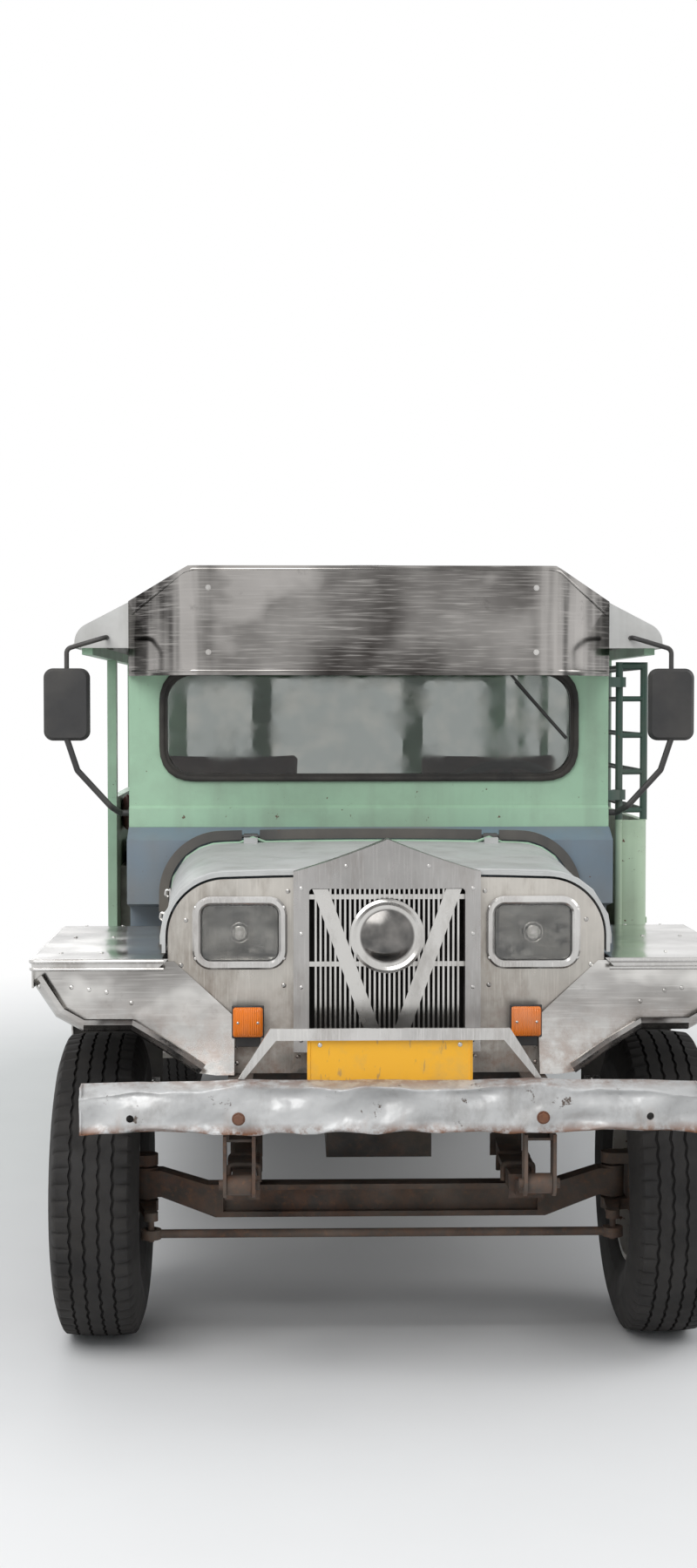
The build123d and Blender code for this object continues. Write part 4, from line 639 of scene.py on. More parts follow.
class JEEPNEY_OT_finishes(bpy.types.Operator):
    """Make the finishes and give each carried node listed in NODE_FINISHES its own"""
    bl_idname = "jeepney.finishes"
    bl_label = "Finishes"

    def execute(self, context):
        colours = context.scene.jeepney_colours
        painted("mint_paint", tuple(colours.mint), dust=0.3, chips=0.3)
        painted("green_paint", tuple(colours.green), dust=0.4, chips=0.5,
                second=((0.018, 0.06, 0.042), "Z", 1.286, 1.288))
        # The cowl's front strip, where it meets the hood, near black: painted shade in the joint
        painted("slate_paint", tuple(colours.slate), dust=0.55, chips=0.2, low=0.9, high=1.7,
                second=((0.045, 0.045, 0.045), "Y", -1.6525, -1.6515, 1.0, 0.0))
        # The hood's rear, with its hinge knuckles, near black: painted shade in the joint with the cowl
        painted("silver_paint", tuple(colours.silver), 0.36, dust=0.25, dents=0.1, low=0.9,
                second=((0.05, 0.05, 0.05), "Y", -1.672, -1.668))
        painted("roof_paint", tuple(colours.roof), 0.5, dust=0.25, low=1.7, high=2.1)
        painted("wheel_paint", (0.50, 0.50, 0.48), 0.5, 0.75, 0.9, low=0.4, high=1.2)
        # Visor and fenders: their light and dark colours are painted reflections and painted highlights
        polished("mirror_steel", (0.37, 0.355, 0.34), (0.030, 0.026, 0.024), 0.06, (1.2, 1, 1.6), 1.7,
                 ends=0.44)
        polished("fender_steel", (0.62, 0.61, 0.59), (0.22, 0.21, 0.20), 0.10, (1, 1, 1.4), 2.6, 0.75, 0.70,
                 0.93,
                 hairs=0.25)
        # Lamp bowls: painted reflections, kept dark as painted shade inside the lamps
        polished("lamp_bowl", (0.27, 0.262, 0.25), (0.035, 0.034, 0.032), 0.10, (1, 1, 1.5), 13.0,
                 hairs=0.1)
        sheet_metal("bright_trim", (0.60, 0.59, 0.575), 0.12, 0.5, 0, 0.1)
        sheet_metal("shell_steel", (0.43, 0.42, 0.41), 0.2, 0.55, 0, 0.2)
        sheet_metal("brushed_steel", (0.53, 0.505, 0.465), 0.24, 0.85, 0.7, 0.35, 0.72, 0.98)
        sheet_metal("step_steel", (0.5, 0.49, 0.46), 0.4, 0.6, 0.5, 0.3, 0.3, 0.7)
        sheet_metal("reflector", (0.85, 0.85, 0.84), 0.06, 0.1, 0, 0.05, scratch=0.05)
        flaking("bumper_paint", (0.53, 0.53, 0.525))
        grille_finish("grille_trim", (0.60, 0.59, 0.57))
        rusty("engine_steel", (0.085, 0.10, 0.095), 0.25)
        rusty("rusty_bolt", (0.16, 0.06, 0.03), 0.9)
        rusty("chassis_paint", (0.028, 0.027, 0.026), 0.35)
        rusty("rusty_steel", (0.05, 0.038, 0.032), 0.8)
        rubber("radiator_black", (0.008, 0.008, 0.008), 0.06)
        rubber("tyre_rubber", (0.011, 0.011, 0.012), 0.10)
        rubber("black_rubber", (0.018, 0.018, 0.018), 0.2, 0.08)
        plastic("black_plastic", (0.022, 0.022, 0.023))
        # Deep tint that darkens all seen through it: partly the glass's own green tint, partly painted shade
        # of the dim cab behind
        lens("window_glass", (0.24, 0.26, 0.25), 1.0, roughness=0.0)
        lens("lamp_glass", (0.80, 0.80, 0.78), 0.95, 30, "X", 0.05)
        lens("amber_lens", (1.0, 0.235, 0.012), 0.12, 60, "X", 0.14)
        lens("red_lens", (0.55, 0.006, 0.006), 0.3, 60, "Z", 0.16)
        plate_finish("plate_yellow", tuple(colours.plate))
        vinyl("seat_vinyl", tuple(colours.seats))
        timber("seat_wood", (0.33, 0.33, 0.3))
        for finish, nodes in NODE_FINISHES.items():
            for node in nodes:
                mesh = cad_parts[node].data
                mesh.materials.clear()
                mesh.materials.append(MATERIALS[finish])
        return {"FINISHED"}


class JEEPNEY_OT_tyres(bpy.types.Operator):
    """Mould the four tyres with ribs, zigzag grooves and notched shoulders, and fit their valves"""
    bl_idname = "jeepney.tyres"
    bl_label = "Tyres"

    def execute(self, context):
        sizes = context.scene.jeepney_sizes
        around = 360
        zigzags = 60
        notch_every = 6
        edge = 0.0865
        # Outer wall from the bead to the tread's edge: (radius, distance from the middle)
        wall = ((0.206, 0.068), (0.210, 0.080), (0.222, 0.089), (0.240, 0.098), (0.243, 0.1005),
                (0.247, 0.1005),
                (0.250, 0.102), (0.275, 0.1085), (0.300, 0.1113), (0.303, 0.1116), (0.307, 0.1116),
                (0.310, 0.1112), (0.332, 0.1075), (0.352, 0.1015), (0.366, 0.0965), (0.377, 0.0915),
                (0.3825, edge))
        lining = ((0.360, 0.080), (0.330, 0.096), (0.290, 0.098), (0.245, 0.086), (0.212, 0.062))
        tread = []
        for groove in (0.0520, 0.0175, -0.0175, -0.0520):
            for offset, depth in ((0.0036, 0), (0.0026, 1), (-0.0026, 1), (-0.0036, 0)):
                reach = groove + offset
                crown = TYRE_RADIUS - 0.0045 * (reach / edge) ** 2
                tread.append((crown - depth * sizes.tread_depth, reach))
        section = [*wall, *tread, *((r, -u) for r, u in reversed(wall)),
                   *((r, -u) for r, u in reversed(lining)),
                   *lining]
        for end, axle_y in (("front", FRONT_AXLE_Y), ("rear", REAR_AXLE_Y)):
            for side, hand in ((1, "left"), (-1, "right")):
                place = f"{end}_{hand}"
                centre = Vector((side * WHEEL_X, axle_y, TYRE_RADIUS))
                bm = bmesh.new()
                bmesh.ops.spin(bm, geom=add_loop(bm, [(u, 0, r) for r, u in section]), cent=(0, 0, 0),
                               axis=(1, 0, 0), angle=2 * pi, steps=around, use_merge=True,
                               use_duplicate=False)
                for vert in bm.verts:
                    radius = sqrt(vert.co.y ** 2 + vert.co.z ** 2)
                    turn = (degrees(Vector((vert.co.y,
                                            vert.co.z)).angle_signed(Vector((1, 0)))) % 360) / 360
                    if radius > 0.3695 and abs(vert.co.x) < 0.08:
                        swing = abs(((turn * zigzags) % 1) * 4 - 2) - 1
                        vert.co.x += sizes.zigzag * swing
                    elif 0.3775 < radius < 0.384 or (0.372 < radius <= 0.3775 and abs(vert.co.x) > 0.085):
                        if round(turn * around) % notch_every == 0:
                            vert.co.x *= 0.965
                            vert.co.yz = vert.co.yz * (1 - 0.006 / radius)
                bmesh.ops.translate(bm, vec=centre, verts=bm.verts)
                new_piece(f"moulded_tyre_{place}", bm, "tyre_rubber", f"wheel_{place}", 40,
                          replaces=f"tyre_{place}")
                valve = bmesh.new()
                for start, stop, radius in (((0.03, 0.178), (0.062, 0.168), 0.004),
                                            ((0.058, 0.169), (0.068, 0.166), 0.0055)):
                    add_rod(valve, *(centre + Vector((side * x, 0, z)) for x, z in (start, stop)), radius)
                new_piece(f"valve_{place}", valve, "black_rubber", f"wheel_{place}")
        return {"FINISHED"}


class JEEPNEY_OT_front_lamps(bpy.types.Operator):
    """Make the head lamps with reflectors and fluted glasses, and the amber turn lamps on black bases"""
    bl_idname = "jeepney.front_lamps"
    bl_label = "Front lamps"

    def execute(self, context):
        for make in (self.head_lamp, self.turn_lamp):
            for side, name in SIDES:
                make(side, name)
        return {"FINISHED"}

    def head_lamp(self, side, name):
        low, high = corners_of("lamp_glasses")
        half_width = 0.0947
        corner = 0.0257
        middle_z = (low.z + high.z) / 2
        centre_x = side * (high.x - half_width)
        bowl_front = high.y - 0.0095
        # Rings from the rim towards the middle: (share of the ring before, how far back from that one)
        bowl_steps = ((0.93, 0.0030), (0.86, 0.0025), (0.78, 0.0016), (0.66, 0.0010), (0.5, 0.0004))
        glass_steps = ((0.97, -0.0012), (0.93, -0.0010), (0.86, -0.0008), (0.72, -0.0005), (0.5, -0.0002))
        for part, back, front, steps, finish, replaced in (
                ("bowl", high.y, bowl_front, bowl_steps, "lamp_bowl", None),
                ("glass", low.y + 0.0055, low.y + 0.0033, glass_steps, "lamp_glass", "lamp_glasses")):
            bm = bmesh.new()
            add_box(bm, (centre_x - half_width, front, low.z), (centre_x + half_width, back, high.z))
            round_corners(bm, corner, 8)
            face = front_face(bm)
            for share, back_by in steps:
                bmesh.ops.inset_individual(bm, faces=[face], thickness=0.0001)
                bmesh.ops.scale(bm, vec=(share, 1, share), verts=face.verts,
                                space=Matrix.Translation((-centre_x, 0, -middle_z)))
                bmesh.ops.translate(bm, vec=(0, back_by, 0), verts=face.verts)
            new_piece(f"head_lamp_{part}_{name}", bm, finish, smooth=ROUND, replaces=replaced)
        # Bulb shield on its short stem, and the gasket round the glass
        bulb = bmesh.new()
        tip = (centre_x, bowl_front + 0.001, middle_z)
        add_rod(bulb, (centre_x, high.y - 0.001, middle_z), tip, 0.012, 24)
        add_dome(bulb, tip, FORWARD, 0.017, 0.0022, 24)
        add_tube(bulb, ring(centre_x, high.y - 0.0065, middle_z, 0.024, 24), 0.0013, closed=True)
        new_piece(f"head_lamp_bulb_{name}", bulb, "bright_trim")
        gasket = bmesh.new()
        reach_x, reach_z = half_width - 0.0005, (high.z - low.z) / 2 - 0.0005
        add_tube(gasket, oblong(centre_x - reach_x, centre_x + reach_x, low.y + 0.006, middle_z - reach_z,
                                middle_z + reach_z), 0.0028, closed=True, bends=corner)
        new_piece(f"head_lamp_gasket_{name}", gasket, "black_rubber", smooth=ROUND)
        screws = bmesh.new()
        add_domes(screws, oblong(centre_x - 0.107, centre_x + 0.107, low.y - 0.001, middle_z - 0.062,
                                 middle_z + 0.062), FORWARD, 0.005, 0.003)
        new_piece(f"head_lamp_screws_{name}", screws, "bright_trim")

    def turn_lamp(self, side, name):
        low, high = corners_of("turn_lamps")
        x, z = side * (high.x - 0.040), high.z - 0.040
        base = bmesh.new()
        add_box(base, (x - 0.03, low.y + 0.024, low.z), (x + 0.03, high.y, high.z - 0.02))
        add_box(base, (x - 0.039, low.y + 0.018, z - 0.039), (x + 0.039, low.y + 0.026, z + 0.039))
        new_piece(f"turn_lamp_base_{name}", base, "black_plastic", bevel=0.002, replaces="turn_lamps")
        bm = bmesh.new()
        add_box(bm, (x - 0.036, low.y + 0.004, z - 0.036), (x + 0.036, low.y + 0.019, z + 0.036))
        round_edges(bm, bm.edges, 0.006, 3)
        face = front_face(bm)
        for inset, forward in ((0.004, 0.003), (0.002, 0.001)):
            bmesh.ops.inset_region(bm, faces=[face], thickness=inset)
            bmesh.ops.translate(bm, vec=(0, -forward, 0), verts=face.verts)
        new_piece(f"turn_lamp_lens_{name}", bm, "amber_lens", smooth=ROUND, replaces="turn_lamps")
        screws = bmesh.new()
        add_domes(screws, [(x + reach, low.y - 0.0002, z) for reach in (-0.024, 0.024)], FORWARD, 0.0035,
                  0.002)
        new_piece(f"turn_lamp_screws_{name}", screws, "bright_trim")


class JEEPNEY_OT_sheet_metal(bpy.types.Operator):
    """Rivet the fenders, nose and grille, roll the fenders' edges, and rim the blank plate"""
    bl_idname = "jeepney.sheet_metal"
    bl_label = "Front sheet metal"

    def execute(self, context):
        sizes = context.scene.jeepney_sizes
        # Seam over each apron: (x, z) as seen from the front
        seam = ((0.842, 0.952), (0.765, 0.948), (0.680, 0.936), (0.620, 0.910), (0.565, 0.868))
        # Screws round the lamps and down the nose panel's narrow waist
        nose = ((0.488, 1.110), (0.240, 1.180), (0.500, 1.000), (0.250, 0.950), (0.365, 0.800),
                (0.365, 0.760),
                (0.215, 0.775))
        shell = ((0.208, 0.82), (0.208, 0.95), (0.208, 1.08), (0.208, 1.19), (0.10, 1.245))
        rivets = bmesh.new()
        screws = bmesh.new()
        rolls = bmesh.new()
        for side, _ in SIDES:
            line = [Vector((side * x, AHEAD_Y, z)) for x, z in seam]
            for start, end in zip(line, line[1:]):
                count = max(2, round((end - start).length / sizes.rivet_pitch) + 1)
                for point in spread(start, end, count)[:-1]:
                    rivet(rivets, "fenders", point, BACKWARD, sizes.rivet, 0.0028)
            # Screws along the top plate
            for x in (0.70, 0.80):
                for y in (-2.60, -2.25, -1.95):
                    rivet(rivets, "fenders", (side * x, y, 1.3), DOWN, sizes.rivet, 0.0025)
            for x, z in nose:
                rivet(rivets, "nose_panel", (side * x, AHEAD_Y, z), BACKWARD, 0.006, 0.003)
            for x, z in shell:
                rivet(screws, "grille_shell", (side * x, AHEAD_Y, z), BACKWARD, 0.005, 0.0025)
            # Two bright rolls along the fender's front edge, turned back along the outer side
            for z, radius in ((1.014, 0.0055), (0.9955, 0.0045)):
                add_tube(rolls, [(side * 0.540, -2.728, z), (side * 0.861, -2.728, z),
                                 (side * 0.861, -1.960, z)],
                         radius, bends=0.02, sides=12)
        new_piece("front_rivets", rivets, "fender_steel")
        new_piece("grille_screws", screws, "bright_trim")
        new_piece("fender_rolls", rolls, "bright_trim", smooth=ROUND)
        # Plate: pressed rim and four screws
        low, high = corners_of("number_plate")
        rim = bmesh.new()
        add_tube(rim, oblong(low.x + 0.006, high.x - 0.006, low.y, low.z + 0.006, high.z - 0.006), 0.0025,
                 closed=True, bends=0.012)
        new_piece("plate_rim", rim, "plate_yellow")
        screws = bmesh.new()
        add_domes(screws, oblong(low.x + 0.03, high.x - 0.03, low.y, low.z + 0.024, high.z - 0.024),
                  FORWARD, 0.006,
                  0.003)
        new_piece("plate_screws", screws, "bright_trim")
        return {"FINISHED"}


class JEEPNEY_OT_bumper(bpy.types.Operator):
    """Press the bumper's channel, dent it as years of knocks do, and bolt it to the rails"""
    bl_idname = "jeepney.bumper"
    bl_label = "Bumper"

    def execute(self, context):
        low, high = corners_of("front_bumper")
        sheet = 0.006
        front, bolt_z, hole_x = low.y + 0.012, low.z + 0.047, 0.607
        # Half section from the front face's middle to the back edge of the top flange: (y, height)
        half_height = (high.z - low.z) / 2
        outside = [(front, half_height * 0.11 * step) for step in range(9)]
        outside += [(front + 0.0006, half_height - 0.0035), (front + 0.002, half_height - 0.0012),
                    (front + 0.006, half_height), (front + 0.03, half_height), (high.y, half_height)]
        inside = [(high.y, half_height - sheet), (front + 0.03, half_height - sheet),
                  (front + sheet + 0.003, half_height - sheet)]
        inside += [(front + sheet, half_height * share) for share in (0.86, 0.66, 0.44, 0.22, 0)]
        half = outside + inside
        lower = [(y, -z) for y, z in half if z > 0]
        split = len([1 for y, z in outside if z > 0])
        section = half + lower[split:][::-1] + lower[:split][::-1]
        middle_z = (low.z + high.z) / 2
        steps = 240
        bm = bmesh.new()
        bmesh.ops.spin(bm, geom=add_loop(bm, [(low.x, y, middle_z + z) for y, z in section]),
                       cent=(0, 0, 0),
                       axis=(1, 0, 0), angle=0, steps=steps, dvec=((high.x - low.x) / steps, 0, 0),
                       use_merge=False, use_duplicate=False)
        bmesh.ops.holes_fill(bm, edges=[edge for edge in bm.edges if edge.is_boundary], sides=0)
        for vert in bm.verts:
            x, z = vert.co.x, vert.co.z
            face_share = max(0.0, 1 - (vert.co.y - front) / 0.05)
            near_bolt = min(1.0, ((abs(x) - SPRING_X) / 0.03) ** 2 + ((z - bolt_z) / 0.03) ** 2)
            vert.co.y += self.knocked(x, z) * face_share * near_bolt
            up = (z - middle_z) / half_height
            vert.co.z -= self.sagged(x, up, high.x) * up * abs(up) * (0.25 + 0.75 * face_share)
        skin = new_piece("bumper_channel", bm, "bumper_paint", smooth=50)
        # The two spare holes are drilled through
        bm = bmesh.new()
        for x in (-hole_x, hole_x):
            add_rod(bm, (x, front - 0.02, bolt_z), (x, front + 0.03, bolt_z), 0.009, 24)
        drill = new_object("drill", bm)
        cut = skin.modifiers.new("Holes", "BOOLEAN")
        cut.object = drill
        cut.solver = "EXACT"
        apply_modifiers(skin)
        mesh = drill.data
        bpy.data.objects.remove(drill)
        bpy.data.meshes.remove(mesh)
        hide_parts("front_bumper")
        ends = bmesh.new()
        for x in (low.x + 0.001, high.x - 0.006):
            add_box(ends, (x, front + 0.008, low.z + 0.009), (x + 0.005, high.y, high.z - 0.009))
        new_piece("bumper_ends", ends, "bumper_paint", bevel=0.0015)
        bolts = bmesh.new()
        for x in (-SPRING_X, SPRING_X):
            add_bolt(bolts, (x, front + 0.001, bolt_z), FORWARD, 0.0125, 0.012)
            add_rod(bolts, (x, front, bolt_z), (x, low.y + 0.0015, bolt_z), 0.006, 14)
        new_piece("bumper_bolts", bolts, "rusty_bolt", bevel=0.001)
        return {"FINISHED"}

    @staticmethod
    def knocked(x, z):
        """How far the face lies back at one place, from its dents and from the waves between them."""
        gain = 2.2
        # Each row is one dent: x, z, reach along x, reach along z, depth
        dents = ((-0.60, 0.735, 0.06, 0.03, 0.010), (-0.43, 0.66, 0.10, 0.03, 0.006),
                 (-0.25, 0.725, 0.09, 0.025, 0.009), (-0.12, 0.675, 0.05, 0.03, 0.008),
                 (-0.01, 0.71, 0.07, 0.035, 0.011), (0.10, 0.655, 0.05, 0.02, 0.007),
                 (0.21, 0.73, 0.08, 0.022, 0.010), (0.30, 0.69, 0.04, 0.03, 0.007),
                 (0.45, 0.66, 0.06, 0.025, 0.010), (0.53, 0.725, 0.09, 0.02, 0.008),
                 (0.68, 0.67, 0.05, 0.04, 0.009), (-0.69, 0.66, 0.04, 0.03, 0.008))
        push = sum(gain * depth * exp(-((x - dent_x) / reach_x) ** 2 - ((z - dent_z) / reach_z) ** 2)
                   for dent_x, dent_z, reach_x, reach_z, depth in dents)
        push += 0.007 * (noise.noise(Vector((x * 9, z * 14, 2.0))) + 1) / 2
        push += 0.004 * (noise.noise(Vector((x * 26, z * 30, 5.0))) + 1) / 2
        return push + 0.003 * abs(noise.noise(Vector((x * 40, z * 55, 8.0))))

    @staticmethod
    def sagged(x, up, end_x):
        """How far the edge above or below one place has bent towards the middle."""
        edge_row = 1.0 if up > 0 else 9.0
        sag = 0.016 * max(0.0, noise.noise(Vector((x * 4.6, 7.0, edge_row))) + 0.5)
        sag += 0.009 * max(0.0, noise.noise(Vector((x * 13, 3.0, edge_row))) + 0.5)
        return sag + 0.022 * (abs(x) / end_x) ** 3 if up > 0 else sag


class JEEPNEY_OT_hood_fittings(bpy.types.Operator):
    """Fit the hood's rear band, front bead and side hooks"""
    bl_idname = "jeepney.hood_fittings"
    bl_label = "Hood fittings"

    def execute(self, context):
        low, high = corners_of("hood")
        lift = 0.0005
        for name, y, finish, radius in (("rear_band", high.y - 0.030, "mint_paint", 0.004),
                                        ("front_bead", low.y + 0.014, "silver_paint", 0.005)):
            reach = settle("hood", (0.9, y, 1.06), (-1, 0, 0))[0].x
            lines = [((0.9, y, z), (-1, 0, 0)) for z in (1.05, 1.07)]
            lines += [((reach * (1 - step / 15) * 0.985, y, 1.6), DOWN) for step in range(31)]
            lines += [((-0.9, y, z), (1, 0, 0)) for z in (1.07, 1.05)]
            points = []
            for start, direction in lines:
                place, normal = settle("hood", start, direction)
                points.append(place + normal * lift)
            band = bmesh.new()
            add_tube(band, points, radius)
            new_piece(f"hood_{name}", band, finish, "hood", ROUND)
        for side, name in SIDES:
            for row, y in (("front", -2.45), ("rear", -1.80)):
                base = settle("hood", (side * 0.9, y, 1.085), (-side, 0, 0))[0]
                hook = bmesh.new()
                add_box(hook, base + Vector((-0.002, -0.016, -0.02)), base + Vector((0.002, 0.016, 0.025)))
                add_tube(hook, [base + Vector((side * out, 0, up)) for out, up in (
                    (0, 0.018), (0.012, 0.020), (0.014, 0.006), (0.006, 0))], 0.0035, bends=0.004)
                new_piece(f"hood_hook_{row}_{name}", hook, "bright_trim", "hood")
        return {"FINISHED"}


class JEEPNEY_OT_windscreen_trim(bpy.types.Operator):
    """Roll the windscreen seal's lips, fit the wiper's cap and the visor's bolts and rolled edges"""
    bl_idname = "jeepney.windscreen_trim"
    bl_label = "Windscreen trim"

    def execute(self, context):
        low, high = corners_of("windscreen_seal")
        inset = 0.008
        lips = bmesh.new()
        for y in (low.y + 0.001, high.y - 0.001):
            add_tube(lips, oblong(low.x + inset, high.x - inset, y, low.z + inset, high.z - inset), 0.009,
                     closed=True, bends=0.098, sides=12)
        new_piece("seal_lips", lips, "black_rubber", smooth=ROUND)
        wiper_front = corners_of("wiper")[0].y
        cap = bmesh.new()
        add_rod(cap, (0.385, wiper_front + 0.004, 1.760), (0.385, wiper_front - 0.006, 1.760), 0.012, 20,
                0.009)
        new_piece("wiper_cap", cap, "black_plastic")
        bolts = bmesh.new()
        for x in (-0.467, 0.467):
            for z in (1.782, 1.965):
                add_bolt(bolts, *settle("visor", (x, AHEAD_Y, z), BACKWARD), 0.0065, 0.006)
        new_piece("visor_bolts", bolts, "bright_trim")
        low, high = corners_of("visor")
        bottom = [(x, low.z + 0.012) for x in (0.51, 0.54, 0.62, 0.70)]
        top = [(x, min(z, high.z - 0.010)) for x, z in ((0.51, 2.018), (0.535, 2.012), (0.62, 1.955),
                                                        (0.70, 1.900))]
        edge = bmesh.new()
        for half in (bottom, top):
            route = [(-x, z) for x, z in reversed(half)] + half
            add_tube(edge, [settle("visor", (x, AHEAD_Y, z), BACKWARD)[0] for x, z in route], 0.0045)
        new_piece("visor_edges", edge, "mirror_steel", smooth=ROUND)
        return {"FINISHED"}


class JEEPNEY_OT_mirror_glasses(bpy.types.Operator):
    """Set a glass and its rubber rim in the back of each mirror head"""
    bl_idname = "jeepney.mirror_glasses"
    bl_label = "Mirror glasses"

    def execute(self, context):
        for side, name in SIDES:
            x = side * (corners_of("mirrors")[1].x - 0.067)
            place = settle("mirrors", (x, 0, 1.633), FORWARD)[0]
            for part, reach, half_x, half_z, finish in (("rim", 0.002, 0.060, 0.098, "black_rubber"),
                                                        ("glass", 0.003, 0.056, 0.094, "reflector")):
                bm = bmesh.new()
                add_box(bm, (x - half_x, place.y - 0.001, place.z - half_z),
                        (x + half_x, place.y + reach, place.z + half_z))
                round_corners(bm, 0.02, 6)
                new_piece(f"mirror_{part}_{name}", bm, finish)
        return {"FINISHED"}


class JEEPNEY_OT_body_trim(bpy.types.Operator):
    """Run rub rails, arch lips, gutters and rivets along the body, and trim the rear doorway and lamps"""
    bl_idname = "jeepney.body_trim"
    bl_label = "Body trim"

    def execute(self, context):
        rivet_radius = context.scene.jeepney_sizes.rivet
        arch_radius = 0.478
        rails = bmesh.new()
        rivets = bmesh.new()
        for side, _ in SIDES:
            outside = side * corners_of("side_panels")[1].x
            # Flat rub rails: from y, to y, height, radius, width
            for start, end, z, radius, width in ((-0.66, 2.80, 1.300, 0.008, 0.026),
                                                 (-0.66, 0.60, 0.800, 0.006, 0.020),
                                                 (1.64, 2.80, 0.800, 0.006, 0.020)):
                add_tube(rails, [(outside, start, z), (outside, end, z)], radius, flat=(0.008, width))
            arch = [(outside, REAR_AXLE_Y + arch_radius * cos(radians(angle)),
                     TYRE_RADIUS + arch_radius * sin(radians(angle))) for angle in range(32, 149, 6)]
            add_tube(rails, arch, 0.007)
            # Rows of rivets: first (y, z), last (y, z), how many
            for first, last, count in (((-0.64, 1.270), (2.78, 1.270), 40),
                                       ((-0.64, 0.650), (0.62, 0.650), 15),
                                       ((1.64, 0.650), (2.78, 0.650), 14),
                                       ((0.205, 0.86), (0.205, 1.24), 8),
                                       ((1.94, 0.86), (1.94, 1.24), 8)):
                add_domes(rivets, spread((outside, *first), (outside, *last), count), (side, 0, 0),
                          rivet_radius,
                          0.0025)
        new_piece("side_rails", rails, "bright_trim", bevel=0.0015)
        new_piece("side_rivets", rivets, "mint_paint")
        self.roof()
        self.rear()
        return {"FINISHED"}

    def roof(self):
        """Gutters along both edges, and rivet rows where the sheets lap."""
        low, high = corners_of("roof")
        edge_z = 1.806
        gutters = bmesh.new()
        for side, _ in SIDES:
            x = settle("roof", (side * 1.2, 0.5, edge_z), (-side, 0, 0))[0].x
            add_tube(gutters, [(x, low.y + 0.01, edge_z), (x, high.y - 0.01, edge_z)], 0.006,
                     flat=(0.010, 0.014))
        new_piece("roof_gutters", gutters, "roof_paint", bevel=0.0015)
        laps = bmesh.new()
        for y in (-1.50, -0.62, 0.25, 1.12, 1.99, 2.79):
            for step in range(25):
                place, normal = settle("roof", (high.x * 0.93 * (step / 12 - 1), y, 2.5), DOWN)
                if place.z < high.z - 0.003:
                    add_dome(laps, place - normal * 0.0008, normal, 0.005, 0.0022, 8)
        new_piece("roof_rivets", laps, "roof_paint")

    def rear(self):
        """Beads round the doorway and windows, grab handles beside the doorway, and rims round the lamps."""
        back = corners_of("rear_panel")[1].y
        low, high = corners_of("rear_lamps")
        lamp_x = 0.72
        half, tall = high.x - lamp_x + 0.003, (high.z - low.z) / 2 + 0.003
        middle = (low.z + high.z) / 2
        beads = bmesh.new()
        handles = bmesh.new()
        rims = bmesh.new()
        add_tube(beads, [(-0.345, back, 0.70), (-0.345, back, 1.772), (0.345, back, 1.772),
                         (0.345, back, 0.70)],
                 0.006, flat=(0.020, 0.008))
        for side, _ in SIDES:
            add_tube(beads, oblong(side * 0.418, side * 0.772, back, 1.338, 1.762), 0.005, closed=True,
                     bends=0.02)
            add_grip(handles, side * 0.378, back - 0.002, back + 0.045, 0.98, 1.28, 0.011, 0.03)
            centre = side * lamp_x
            add_tube(rims, oblong(centre - half, centre + half, back + 0.004, middle - tall, middle + tall),
                     0.005,
                     closed=True, bends=0.012)
        new_piece("rear_beads", beads, "bright_trim", bevel=0.0012)
        new_piece("rear_handles", handles, "bright_trim", smooth=ROUND)
        new_piece("rear_lamp_rims", rims, "bright_trim")


